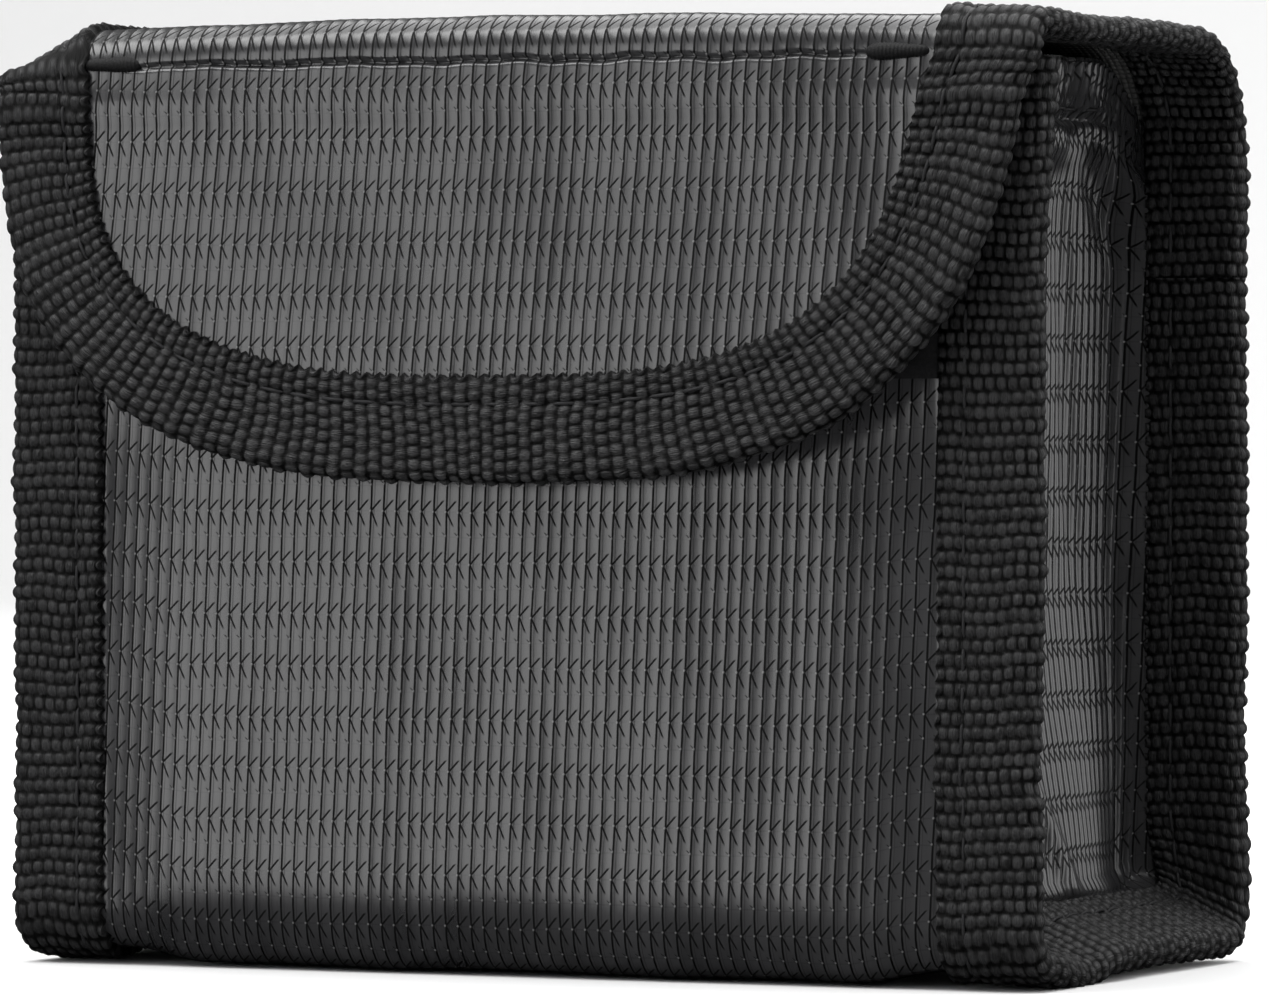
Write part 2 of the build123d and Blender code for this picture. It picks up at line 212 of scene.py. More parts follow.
def cloth_sheet(name, outer, thickness, uv, mask=None, flip=False):
    """A closed sheet: the outer grid, the same grid a thickness further in, and walls round its edge."""
    rows, columns = outer.shape[:2]
    inner = outer - grid_normals(outer) * thickness
    count = rows * columns
    quads = cells(rows, columns)
    if mask is None:
        mask = np.ones(quads.shape[:2], bool)
    top = quads[mask]
    faces = [top, top[:, ::-1] + count]
    padded = np.pad(mask, 1)
    for di, dj, a, b in ((-1, 0, 0, 3), (1, 0, 2, 1), (0, -1, 1, 0), (0, 1, 3, 2)):
        beside = padded[1 + di : 1 + di + mask.shape[0], 1 + dj : 1 + dj + mask.shape[1]]
        edge = quads[mask & ~beside]
        faces.append(np.stack([edge[:, b], edge[:, a], edge[:, a] + count, edge[:, b] + count], -1))
    walls = np.concatenate(faces[2:])
    faces = np.concatenate(faces)
    points = np.concatenate([outer.reshape(-1, 3), inner.reshape(-1, 3)])
    uvs = np.concatenate([uv.reshape(-1, 2)] * 2)
    used = np.unique(faces)
    renumber = np.zeros(len(points), int)
    renumber[used] = np.arange(len(used))
    sharp = renumber[np.concatenate([walls[:, :2], walls[:, 2:]])]
    return make_object(name, points[used], renumber[faces], uvs[used], flip, sharp=sharp)


def tube(points, radius, sides=8, twist=0.0):
    """Points, quads and end triangles of a closed tube with rounded ends along a short path."""
    points = np.asarray(points, float)
    n = len(points)
    along = unit(np.gradient(points, axis=0))
    guide = np.array([0.37, 0.61, 0.70])
    across = unit(np.cross(along, guide))
    up = np.cross(along, across)
    t = np.linspace(0, 1, n)
    swell = np.sqrt(np.clip(1 - (2 * t - 1) ** 8, 0.02, 1))
    angle = np.linspace(0, 2 * pi, sides, endpoint=False)[None, :]
    ply = 1 + (PLY_RELIEF * np.cos(2 * (angle - twist * t[:, None])) if twist else 0)
    ring = across[:, None] * np.cos(angle)[..., None] + up[:, None] * np.sin(angle)[..., None]
    shell = points[:, None] + ring * (radius * swell[:, None] * ply)[..., None]
    faces = cells(n, sides, closed=True).reshape(-1, 4)
    verts = np.concatenate([shell.reshape(-1, 3), points[:1], points[-1:]])
    k = np.arange(sides)
    k2 = (k + 1) % sides
    caps = []
    for base, first, second, tip in ((0, k2, k, n * sides), ((n - 1) * sides, k, k2, n * sides + 1)):
        caps.append(np.stack([base + first, base + second, np.full(sides, tip)], -1))
    return verts, faces, np.concatenate(caps)


def route(points, radii, counts):
    """A 2-D path of straight runs with round corners. counts gives the steps of run, corner, run, ..."""
    points = np.asarray(points, float)

    def straight(start, end, count):
        return [start + (end - start) * t for t in np.linspace(0, 1, count, endpoint=False)]

    out, last = [], points[0]
    for k, radius in enumerate(radii):
        before, corner, after = points[k], points[k + 1], points[k + 2]
        a, b = unit(before - corner), unit(after - corner)
        half = np.arccos(np.clip(a @ b, -1, 1)) / 2
        reach = radius / tan(half)
        centre = corner + unit(a + b) * radius / sin(half)
        start, end = corner + a * reach, corner + b * reach
        out += straight(last, start, counts[2 * k])
        from_centre, to_centre = unit(start - centre), unit(end - centre)
        turn = np.arccos(np.clip(from_centre @ to_centre, -1, 1))
        for t in np.linspace(0, 1, counts[2 * k + 1], endpoint=False):
            mix = from_centre * sin((1 - t) * turn) / sin(turn) + to_centre * sin(t * turn) / sin(turn)
            out.append(centre + mix * radius)
        last = end
    out += [last + (points[-1] - last) * t for t in np.linspace(0, 1, counts[-1] + 1)]
    return np.array(out)


def run_length(points):
    """Distance along a path at each of its points."""
    steps = np.linalg.norm(np.diff(points, axis=0), axis=1)
    return np.concatenate([[0], np.cumsum(steps)])


# ---- shapes shared by cloth, binding and thread ----
FLARES, FLARE_DEPTH = (0.3, 2.4), 4  # left and right; how fast they fade below the crease
TUCK_DEPTH = 38
FLAP_RIM_X = RIM_X - 1.8  # the flap's binding sets in from the side bindings' rim
FLAP_POWER = 2.6  # roundness of the flap's outline: 2 is an ellipse
OUTER_TUCKS = (1.2, 2.5)
INNER_POWER, INNER_TUCKS = 3.0, (-0.5, 1.2)  # the same for the binding's inner edge
CLOTH_MARGIN = 5.2  # how far inside the flap's outline the cloth ends, hidden by the webbing


def flap_edge(half_width, drop, power, share, tucks):
    """x and depth below the crease along the flap's outline, share -1 at the left to 1 at the right.

    The sides flare out a little where they meet the crease, more on the right, and tuck in below it;
    tucks holds how far on the left and on the right.
    """
    angle = share * pi / 2
    depth = drop * np.abs(np.cos(angle)) ** (2 / power)
    flare, tuck = (np.where(share > 0, right, left) for left, right in (FLARES, tucks))
    flare = flare * np.exp(-depth / FLARE_DEPTH)
    tuck = tuck * np.sin(pi * np.clip(depth / TUCK_DEPTH, 0, 1))
    return np.sign(angle) * (half_width * np.abs(np.sin(angle)) ** (2 / power) + flare - tuck), depth


def flap_stand(z):
    """How far the flap stands off its CAD plane, towards the front, at a height."""
    drop = smooth(CREASE_Z - 2, FLAP_LOW[2] + 6, z)
    return -2.4 * drop - 0.5 * np.sin(pi * smooth(CREASE_Z, CREASE_Z - 9, z)) ** 2


def flap_skew(z):
    """The flap hangs slightly to the left."""
    return -0.5 * np.clip((CREASE_Z - z) / FLAP_DROP, 0, 1)


# ---- materials ----
def operation(name):
    """A Wire method that does one of the Math node's operations."""
    return lambda self, *others: self.math(name, *others)


class Wire:
    """A node socket that can be used in sums."""

    def __init__(self, tree, socket):
        self.tree, self.link, self.socket = tree, tree.links.new, socket

    def math(self, name, *others):
        node = self.tree.nodes.new("ShaderNodeMath")
        node.operation = name
        for slot, value in zip(node.inputs, (self, *others)):
            if isinstance(value, Wire):
                self.link(value.socket, slot)
            else:
                slot.default_value = value
        return Wire(self.tree, node.outputs[0])

    __add__ = operation("ADD")
    __sub__ = operation("SUBTRACT")
    __mul__ = operation("MULTIPLY")
    abs = operation("ABSOLUTE")
    floor = operation("FLOOR")
    fract = operation("FRACT")
    sine = operation("SINE")
    root = operation("SQRT")
    most = operation("MAXIMUM")
    least = operation("MINIMUM")

    def step(self, low, high, start=0.0, end=1.0):
        """Smooth step of this value from start at low to end at high."""
        node = self.tree.nodes.new("ShaderNodeMapRange")
        node.interpolation_type = "SMOOTHSTEP"
        ordered = (low, high, start, end) if low < high else (high, low, end, start)
        self.link(self.socket, node.inputs["Value"])
        for key, value in zip(("From Min", "From Max", "To Min", "To Max"), ordered):
            node.inputs[key].default_value = value
        return Wire(self.tree, node.outputs["Result"])

    def stroke(self, half_width, soft):
        """1 where this value is near 0, fading out past the half width."""
        return self.abs().step(half_width, half_width + soft, 1.0, 0.0)


def grey(level, blue=None):
    """A grey, with its blue given apart where the grey is not quite neutral."""
    return level, level, level if blue is None else blue


class Finish:
    """A Principled material and the few node calls that the finishes share."""

    def __init__(self, name, roughness, **constants):
        self.material = bpy.data.materials.new(name)
        self.material.use_nodes = True
        self.tree = self.material.node_tree
        self.link = self.tree.links.new
        self.shader = self.tree.nodes["Principled BSDF"]
        self.shader.inputs["Roughness"].default_value = roughness
        for key, value in constants.items():
            self.shader.inputs[key.replace("_", " ")].default_value = value

    def node(self, kind, **values):
        made = self.tree.nodes.new(kind)
        for key, value in values.items():
            made.inputs[key].default_value = value
        return made

    def place(self):
        """UV coordinates in millimetres as two wires."""
        uv = self.node("ShaderNodeUVMap")
        uv.uv_map = "mm"
        split = self.node("ShaderNodeSeparateXYZ")
        self.link(uv.outputs[0], split.inputs[0])
        return Wire(self.tree, split.outputs[0]), Wire(self.tree, split.outputs[1])

    def attribute(self, name):
        made = self.node("ShaderNodeAttribute")
        made.attribute_name = name
        return Wire(self.tree, made.outputs["Fac"])

    def noise(self, scale, detail=2.0, stretch=None):
        """Noise between 0 and 1 in object space; scale is in waves for each metre."""
        coords = self.node("ShaderNodeTexCoord")
        made = self.node("ShaderNodeTexNoise", Scale=scale, Detail=detail)
        source = coords.outputs["Object"]
        if stretch:
            mapping = self.node("ShaderNodeMapping", Scale=stretch)
            self.link(source, mapping.inputs[0])
            source = mapping.outputs[0]
        self.link(source, made.inputs["Vector"])
        return Wire(self.tree, made.outputs[0])

    def streaks(self, across, along):
        """Fine streaks from two wires that count waves across and along them."""
        joined = self.node("ShaderNodeCombineXYZ")
        self.link(across.socket, joined.inputs[0])
        self.link(along.socket, joined.inputs[1])
        made = self.node("ShaderNodeTexNoise", Scale=1.0, Detail=2.0)
        self.link(joined.outputs[0], made.inputs["Vector"])
        return Wire(self.tree, made.outputs[0])

    def blend_colours(self, share, first, second):
        """A colour output that goes from first to second; each is a colour or another output."""
        mix = self.node("ShaderNodeMix")
        mix.data_type = "RGBA"
        self.link(share.socket, mix.inputs[0])
        for slot, value in zip((mix.inputs[6], mix.inputs[7]), (first, second)):
            if isinstance(value, bpy.types.NodeSocket):
                self.link(value, slot)
            else:
                slot.default_value = (*value, 1.0)
        return mix.outputs[2]

    def feed(self, key, output):
        """Links a wire or an output to one of the shader's inputs."""
        self.link(getattr(output, "socket", output), self.shader.inputs[key])

    def bump(self, height, depth):
        """Bump from a height wire between 0 and 1; depth is in millimetres."""
        node = self.node("ShaderNodeBump", Strength=1.0, Distance=depth * MM)
        self.link(height.socket, node.inputs["Height"])
        self.link(node.outputs[0], self.shader.inputs["Normal"])


def coated_cloth():
    """Glass cloth under a glossy silicone film: raised ribs with a kinked tie thread at every node;
    painted shade darkens the tie threads' lines and a painted highlight lightens a knot beside each
    node.
    """
    finish = Finish("coated_glass_cloth", 0.27, Specular_IOR_Level=0.25, Coat_Roughness=0.24)
    u, v = finish.place()
    wander = finish.noise(160.0, 1.0) - 0.5
    across = u * (1 / RIB) + wander * 0.16 - v * LEAN  # counts ribs
    right = across.fract()
    signed = (across + 0.5).fract() - 0.5
    past = (v * (1 / NODE_PITCH) + wander * 0.12).fract()  # 0 at a node, 1 at the next
    before = (past * -1.0) + 1.0
    halfway = past - 0.5

    # Shares of a rib that the tie threads cross, over shares of the pitch that they take.
    rise, fall, nick = 0.76 / 0.23, 0.56 / 0.30, 0.40 / 0.10
    main = signed.stroke(0.05, 0.05)
    thin = (right - 0.24).stroke(0.01, 0.03) * 0.45
    rising = (right - past * rise).stroke(0.055, 0.07) * past.step(0.19, 0.24, 1.0, 0.0)
    falling = (right - before * fall).stroke(0.04, 0.06) * before.step(0.23, 0.32, 1.0, 0.0)
    knee = (signed * signed + past * past * 60.0).root().stroke(0.07, 0.05)
    tick = (signed + halfway * nick).stroke(0.03, 0.05) * halfway.step(0.07, 0.10, 0.8, 0.0)
    tick = tick * halfway.step(-0.01, 0.0, 0.0, 1.0)
    rows = past.stroke(0.008, 0.012)
    for wire in (before, halfway):
        rows = rows.most(wire.stroke(0.008, 0.012))
    ridge = main
    for wire in (thin, rising, falling, tick, knee):
        ridge = ridge.most(wire)

    node_v = past.least(before).least((halfway - 0.02).abs()) * (NODE_PITCH / RIB)
    beside = signed + 0.08
    knot_and_highlight = (beside * beside + node_v * node_v).root().stroke(0.05, 0.06)

    cloud = finish.noise(35.0, 3.0).step(0.35, 0.65)
    streak = finish.noise(220.0, 3.0, (1.0, 1.0, 0.25)).step(0.35, 0.7)
    film = finish.blend_colours(cloud, grey(0.013, 0.014), grey(0.021, 0.022))
    dusty = finish.blend_colours(streak * 0.35, film, grey(0.035, 0.037))
    # The tie threads' lines are painted near black: painted shade standing in for the dark that their
    # flanks reflect.
    ridge_shaded = finish.blend_colours(ridge, dusty, grey(0.001, 0.0012))
    woven = finish.blend_colours(rows * 0.35, ridge_shaded, grey(0.008, 0.009))
    # Pale dot beside each node: a raised knot in the bump, painted pale as a painted highlight.
    finish.feed("Base Color", finish.blend_colours(knot_and_highlight * 0.45, woven, grey(0.16)))
    finish.feed("Roughness", cloud * 0.06 + streak * 0.05 + ridge * 0.35 + 0.26)
    finish.feed("Coat Weight", ridge * -0.9 + 0.9)
    grain = finish.noise(1800.0, 2.0)
    finish.bump(ridge * 0.85 + knot_and_highlight * 0.3 + rows * -0.1 + grain * 0.06, 0.022)
    return finish.material


def lining_cloth():
    """Plain woven glass cloth, matt and pale, painted dark as painted shade for the shadow inside the
    bag, and darker again between its threads as painted shade.
    """
    finish = Finish("glass_lining", 0.75)
    u, v = finish.place()
    warp = (u * (1 / LINING_PITCH) * pi).sine().abs()
    weft = (v * (1 / LINING_PITCH) * pi).sine().abs()
    weave = warp * weft
    cloud = finish.noise(60.0, 3.0).step(0.3, 0.7)
    # The cloth's tone is set dark: painted shade for the shadow that it lies in inside the bag.
    tone = finish.blend_colours(cloud, grey(0.032, 0.031), grey(0.048, 0.046))
    # Near black between the threads: painted shade in the weave's grooves.
    finish.feed("Base Color", finish.blend_colours(weave.step(0.0, 0.5, 1.0, 0.0), tone, grey(0.012)))
    finish.bump(weave, 0.12)
    return finish.material


def webbing():
    """Black nylon yarn: painted shade darkens it between the picks and beads; fine fibres and a soft
    gloss on their crowns.
    """
    finish = Finish("nylon_webbing", 0.55, Specular_IOR_Level=0.5)
    u, v = finish.place()
    row = (v * (1 / PICK)).floor()
    bead = (u * (1 / BEAD) + row * 0.5).floor()
    tint = ((row * 12.9898 + bead * 78.233).sine() * 43758.5).fract()  # random for each bead
    crown = finish.attribute("crown")
    fibre = finish.streaks(u * 7.0, v * 1.1)
    dust = finish.noise(300.0, 4.0).step(0.62, 0.8)
    shade = tint * 0.45 + fibre.step(0.3, 0.7) * 0.55
    base = finish.blend_colours(shade, grey(0.004, 0.0045), grey(0.024, 0.025))
    worn = finish.blend_colours(dust * crown * 0.5, base, grey(0.05, 0.052))
    # Near black where the crown value is low: painted shade in the grooves between the picks and beads.
    finish.feed("Base Color", finish.blend_colours(crown.step(0.35, 0.8), grey(0.0006), worn))
    finish.feed("Roughness", fibre * 0.2 + crown.step(0.3, 0.9, 0.8, 0.34))
    finish.bump(fibre, 0.2)
    return finish.material


def yarn(name, tone, roughness, gloss, waves, detail, spread, depth):
    """Fine fibres in one tone: their waves for each metre, dark and light shares, depth of bump."""
    finish = Finish(name, roughness, Specular_IOR_Level=gloss)
    fibre = finish.noise(waves, detail)
    dark, light = ([c * share for c in tone] for share in spread)
    finish.feed("Base Color", finish.blend_colours(fibre, dark, light))
    finish.bump(fibre, depth)
    return finish.material


def thread(name, tone):
    """Twisted sewing thread."""
    return yarn(name, tone, 0.6, 0.3, 6000.0, 2.0, (0.6, 1.3), 0.05)


def pile(name, tone):
    """Hook or loop tape's ground and pile."""
    return yarn(name, tone, 0.85, 0.2, 3000.0, 3.0, (0.5, 1.6), 0.12)


def floor_paint():
    """Pale studio floor."""
    finish = Finish("pale_floor", 0.6)
    soft = finish.noise(3.0, 2.0)
    finish.feed("Base Color", finish.blend_colours(soft, grey(0.86), grey(0.88)))
    return finish.material


# Each finish with the slot that its pieces fill.
CLOTH = coated_cloth(), "coated_cloth"
LINING = lining_cloth(), "lining"
TAPE = webbing(), "binding_tape"
THREAD_LIGHT = thread("seam_thread", grey(0.014, 0.015)), "thread"
THREAD_WHITE = thread("crease_thread", grey(0.35)), "thread"
THREAD_DARK = thread("tack_thread", grey(0.004, 0.0045)), "thread"
LOOP = pile("loop_pile", grey(0.004, 0.0045)), "loop_tape"
HOOK = pile("hook_rows", grey(0.006, 0.0065)), "hook_tape"

LID_BLEND = (
    "bag",
    "lid",
    (0, BACK_Y * MM, (HINGE_Z - 7) * MM),
    (0, (BACK_Y - 7) * MM, (LID_Z - 1) * MM),
)
FLAP_BLEND = (
    "lid",
    "flap",
    (0, (FLAP_Y + 4) * MM, (LID_Z - 1) * MM),
    (0, FLAP_Y * MM, (CREASE_Z - 4) * MM),
)


def finish_piece(obj, finish, carrier, node=None):
    """Gives a piece its finish and parents it to the body that carries it, or fixes it in place where a
    blend of bodies carries it, and hides the CAD node that it replaces.
    """
    material, slot = finish
    obj.data.materials.append(material)
    if isinstance(carrier, str):
        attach(obj, carrier)
    else:
        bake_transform(obj)
    if node:
        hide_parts(node)


# ---- webbing ----
def binding_frames(root, outward, half_t):
    """Evenly spaced frames along a binding: root, outward and normal vectors and the run length."""
    packed = np.concatenate([root, outward, half_t[:, None]], axis=1)
    middle = root + outward * TAPE_W * 0.5
    length = run_length(middle)
    count = int(round(length[-1] / PICK * PICK_STEPS))
    at = np.linspace(0, length[-1], count + 1)
    even = np.stack([np.interp(at, length, packed[:, k]) for k in range(packed.shape[1])], -1)
    root, outward, half_t = even[:, :3], unit(even[:, 3:6]), even[:, 6]
    along = unit(np.gradient(root + outward * TAPE_W * 0.5, axis=0))
    normal = unit(np.cross(along, outward))
    return root, outward, normal, half_t, at


def weave(q, at, seed, start_row):
    """Beads in rows over webbing: count of rows, the rows' arch, the beads' dome and relief."""
    rows = (at / PICK + start_row)[:, None]
    rows = rows + 0.22 * wave_noise(seed + 3, q * 0.35, at[:, None] * 0.05)
    row = np.floor(rows)
    beads = q / BEAD + 0.5 * (row % 2) + 0.16 * np.sin(row * 2.3 + seed)
    bead = np.floor(beads)
    jitter = np.modf(np.abs(np.sin(row * 127.1 + bead * 311.7 + seed) * 43758.5453))[0]
    arch = np.abs(np.sin(pi * (rows - row)))
    dome = arch**0.5 * (0.1 + 0.9 * np.abs(np.sin(pi * (beads - bead))) ** 0.5)
    return rows, arch, dome, RELIEF * (dome * (0.8 + 0.4 * jitter) - 0.5)


def binding(name, frames, seed, side=1, start_row=0.0):
    """Folded webbing: a U-shaped section with the picks of the weave as relief."""
    root, outward, normal, half_t, at = frames
    fold_r = half_t.mean()
    flat = TAPE_W + 0.2 - fold_r
    arc = pi * fold_r
    total = 2 * flat + arc
    q = np.linspace(0, total, int(total / (BEAD / BEAD_STEPS)) + 1)[None, :]  # across the webbing
    on_front, on_back = q < flat, q > flat + arc
    turn = np.clip((q - flat) / arc, 0, 1) * pi
    reach = np.where(on_front, q, np.where(on_back, total - q, flat + fold_r * np.sin(turn)))
    lift = np.where(on_front, 1.0, np.where(on_back, -1.0, np.cos(turn)))
    out_share = np.where(on_front | on_back, 0.0, np.sin(turn))

    rows, arch, dome, height = weave(q, at, seed, start_row)
    from_edge = np.minimum(q, total - q)
    height = height - 0.3 * hill(from_edge - SEAM_INSET, 0.42)  # the thread pulls a groove
    selvedge = hill(from_edge, 0.7)
    loops = 1 - arch
    reach = reach + selvedge * (0.3 - 0.6 * loops)
    height = height - 0.45 * selvedge * loops

    along = at[:, None]
    wobble = 0.14 * wave_noise(seed, along * 0.16, reach * 0.1)
    rim_wave = 0.2 * wave_noise(seed + 7, along * 0.35, 0 * reach)
    rim_wave = rim_wave - 0.12 * np.cos(pi * (rows - 0.5))
    reach = reach + rim_wave * smooth(6, TAPE_W, reach) + height * out_share
    across = lift * half_t[:, None] + height * lift + wobble
    points = root[:, None] + outward[:, None] * reach[..., None] + normal[:, None] * across[..., None]
    points = mirrored(points, side)
    points[..., 2] = np.maximum(points[..., 2], REST_Z)
    uv = paired(q, along)
    width = q.shape[1]
    quads = cells(len(at), width, closed=True).reshape(-1, 4)
    k = np.arange(width // 2 - 1)
    near_end = np.stack([k, k + 1, width - 2 - k, width - 1 - k], -1)
    quads = np.concatenate([quads, near_end, near_end[:, ::-1] + (len(at) - 1) * width])
    # Crown value for each point, lowered at the selvedge loops; the webbing's finish paints shade from
    # it in the grooves.
    shade = np.broadcast_to(dome * (1 - 0.6 * selvedge * loops), height.shape)
    return make_object(name, points, quads, uv, side < 0, shade)


def seam_stitches(frames, side=1):
    """Centre paths of stitches along a binding, on its outer and inner faces."""
    root, outward, normal, half_t, at = frames
    skip = 2.0  # left free at both ends
    count = int((at[-1] - 2 * skip) / STITCH_PITCH)
    sag = -0.02 - 0.4 * np.abs(np.linspace(-1, 1, STITCH_POINTS)) ** 3  # the ends dive in
    paths = []
    for face in (1, -1):
        for k in range(count):
            begin = skip + (k + 0.08) * STITCH_PITCH
            places = np.linspace(begin, begin + STITCH_PITCH * 0.84, STITCH_POINTS)
            start, out, up = (
                np.stack([np.interp(places, at, v[:, i]) for i in range(3)], -1)
                for v in (root, outward, normal)
            )
            half = np.interp(places, at, half_t)
            path = start + out * SEAM_INSET + up * (face * (half - 0.1 + sag))[:, None]
            paths.append(mirrored(path, side))
    return paths


def join_tubes(name, tubes):
    """One smooth mesh object from tubes, each with its points, quads and triangles."""
    points, quads, tris = zip(*tubes)
    starts = np.cumsum([0] + [len(p) for p in points])
    faces = [f + start for kind in (quads, tris) for f, start in zip(kind, starts)]
    mesh = bpy.data.meshes.new(name)
    faces = [row for part in faces for row in part.tolist()]
    mesh.from_pydata((np.concatenate(points) * MM).tolist(), [], faces)
    smooth_faces(mesh)
    return placed(name, mesh)


def sew(name, paths, finish, carrier, node=None, radius=THREAD_R):
    """All the stitches of a seam as one finished piece."""
    tubes = [tube(path, radius, sides=8, twist=9.0) for path in paths]
    finish_piece(join_tubes(name, tubes), finish, carrier, node)


# ---- the side seams' path ----
BOTTOM_ROOT_Z = 6.6  # height of the bottom seams over the floor
FRONT_ROOT_Z = 2.1  # the same at the front fold
RISE_FROM_Y, RISE_TO_Y = -20, -7  # where the bottom seams climb from one to the other
FOOT_Z = (7.5, 17)  # the bottom's slant fades out over these heights
BOTTOM_TILT = radians(25)
LID_TILTS = {1: radians(3), -1: radians(9)}
LEFT_ROLL = radians(20)  # the left binding rolls over towards the crease
REST_Z = 0.03  # soft parts are flat where they rest
LID_BEND_R = 12.5
CREASE_BEND_R = 3.2


def side_path():
    """Root line of the right side's binding in the YZ plane: front, bottom, back, lid, crease."""
    points = [(SEAM_FRONT, CREASE_Z - 0.4), (SEAM_FRONT, FRONT_ROOT_Z)]
    points += [(RISE_FROM_Y, FRONT_ROOT_Z + 0.6), (RISE_TO_Y, BOTTOM_ROOT_Z)]
    points += [(SEAM_BACK, BOTTOM_ROOT_Z), (SEAM_BACK, SEAM_LID)]
    points += [(SEAM_FLAP, SEAM_LID), (SEAM_FLAP, CREASE_Z)]
    radii = [4.0, 9.0, 14.0, 4.0, LID_BEND_R, CREASE_BEND_R]
    return route(points, radii, [48, 10, 4, 5, 6, 6, 18, 8, 40, 16, 40, 10, 2])


def foot_root(y):
    """Height of the bottom seam: low at the front fold, then level."""
    return FRONT_ROOT_Z + (BOTTOM_ROOT_Z - FRONT_ROOT_Z) * smooth(RISE_FROM_Y - 3, RISE_TO_Y + 2, y)


def foot_tilt(y, z):
    """Droop of the bottom binding, from none at the front fold to its full slant."""
    return BOTTOM_TILT * (1 - smooth(*FOOT_Z, z)) * smooth(SEAM_FRONT + 3, -10, y)


def lid_tilt(side, y, z):
    """Droop of the lid's binding; the left one rolls over towards the crease."""
    settle = LID_TILTS[side] * smooth(SEAM_BACK, SEAM_BACK - 14, y)
    if side > 0:
        return settle
    return settle + LEFT_ROLL * smooth(-12, SEAM_FLAP, y) * smooth(CREASE_Z, LID_Z - 2, z)


def droop_cloth(points, tilt_right, tilt_left):
    """Lets the part of a sheet that is inside the binding follow the binding's slant."""
    past = np.clip(np.abs(points[..., 0]) - ROOT_X, 0, None)
    tilt = np.where(points[..., 0] > 0, tilt_right, tilt_left)
    points[..., 2] -= past * np.tan(tilt)
    return points


def side_frames(side):
    """Root, outward and half thickness along the whole side, for the right side; side tells which."""
    path = side_path()
    y, z = path[:, 0], path[:, 1]
    where = run_length(path)
    turn_down = where[np.argmax(z < 20)]
    on_lid = (z > HINGE_Z) & (where > turn_down)
    on_front = where < turn_down
    x = np.full(len(y), ROOT_X)
    foot_waist = 0.9 * smooth(40, 0, z)
    if side > 0:
        x = x + np.where(on_front, 1.9 * np.exp(-(CREASE_Z - z) / 12), 0)
    x = x - np.where(on_front, foot_waist, 0) * (1 if side > 0 else 0.4)
    if side > 0:
        x = x + np.where(on_lid, 1.3 * smooth(-10, SEAM_FLAP, y), 0)
    low = 1 - smooth(*FOOT_Z, z)
    tilt = foot_tilt(y, z) + np.where(on_lid, lid_tilt(side, y, z), 0)
    x = x + 1.3 * low * smooth(-20, -5, y)
    front_rise = 0.5 * smooth(-5, -24, y) if side > 0 else 0.0
    z = z + np.where(on_lid, 0.25 * np.sin(y * 0.13 + side) + front_rise, 0)
    root = np.stack([x, y, z], -1)
    outward = np.stack([np.cos(tilt), np.zeros(len(y)), -np.sin(tilt)], -1)
    thinned = np.where(on_front, 0, smooth(HINGE_Z - 2, HINGE_Z + 6, z))
    half_t = BODY_HALF_T + (SHEET_HALF_T - BODY_HALF_T) * thinned
    return root, outward, half_t, where


def split_side(side):
    """The side's frames cut into bag, rear-lid and front-lid stretches."""
    root, outward, half_t, where = side_frames(side)
    behind = root[:, 1] > 20
    first = np.argmax(behind & (root[:, 2] > BACK_SPLIT_Z))
    second = np.argmax((where > where[first]) & (root[:, 1] < 0))
    return [
        (root[a:b], outward[a:b], half_t[a:b])
        for a, b in ((0, first + 1), (first, second + 1), (second, len(root)))
    ]


def flap_frames(right, left):
    """Frames from mid-lid on the right, over the crease, round the flap and back up on the left."""
    share = np.linspace(1, -1, 121)[1:-1]
    inner_x, inner_drop = flap_edge(ROOT_X - 0.8, FLAP_DROP - TAPE_W, INNER_POWER, share, INNER_TUCKS)
    outer_x, outer_drop = flap_edge(FLAP_RIM_X, FLAP_DROP, FLAP_POWER, share, OUTER_TUCKS)
    inner, outer = (
        np.stack([x + flap_skew(z), SEAM_FLAP + flap_stand(z), z], -1)
        for x, z in ((inner_x, CREASE_Z - inner_drop), (outer_x, CREASE_Z - outer_drop))
    )
    root = np.concatenate([right[0], inner, mirrored(left[0], -1)[::-1]])
    outward = np.concatenate([right[1], unit(outer - inner), mirrored(left[1], -1)[::-1]])
    half_t = np.concatenate([right[2], np.full(len(inner), SHEET_HALF_T), left[2][::-1]])
    return root, outward, half_t


def build_bindings():
    """Every length of webbing and the thread that holds it."""
    last = {}
    for name, side in (("right", 1), ("left", -1)):
        *parts, last[side] = split_side(side)
        row = 0
        for part, run, seed, carrier in zip(("body", "lid"), parts, (11, 31), ("bag", LID_BLEND)):
            frames = binding_frames(*run)
            piece = binding(f"{part}_binding_{name}_webbing", frames, seed + side, side, row)
            finish_piece(piece, TAPE, carrier, f"{part}_binding_{name}")
            stitches = seam_stitches(frames, side)
            sew(f"{part}_seam_{name}", stitches, THREAD_LIGHT, carrier, f"{part}_binding_thread_{name}")
            row = round(frames[-1][-1] / PICK)
    frames = binding_frames(*flap_frames(last[1], last[-1]))
    finish_piece(binding("flap_binding_webbing", frames, 5), TAPE, FLAP_BLEND, "flap_binding")
    sew("flap_seam", seam_stitches(frames), THREAD_LIGHT, FLAP_BLEND, "flap_binding_thread")


# ---- cloth ----
COVER = 0.9  # how far the webbing stands proud of the cloth
TUCK = 6.5  # how far the cloth reaches into the webbing
HEM = 6.5
FOLD_T = 1.9  # offset between the two layers of a hem
HEM_R = 0.9  # turn of a hem's fold
RIB_STEPS = 6  # mesh columns to a rib
RIB_RELIEF = 0.035
ROW_STEP = 1.5  # between the mesh rows of lid and flap


def rib_relief(uv):
    """The cloth's ribs: a narrow ridge over each warp thread, in step with the printed pattern."""
    across = uv[..., 0] / RIB - uv[..., 1] * LEAN
    return RIB_RELIEF * hill((across + 0.5) % 1 - 0.5, 0.16)


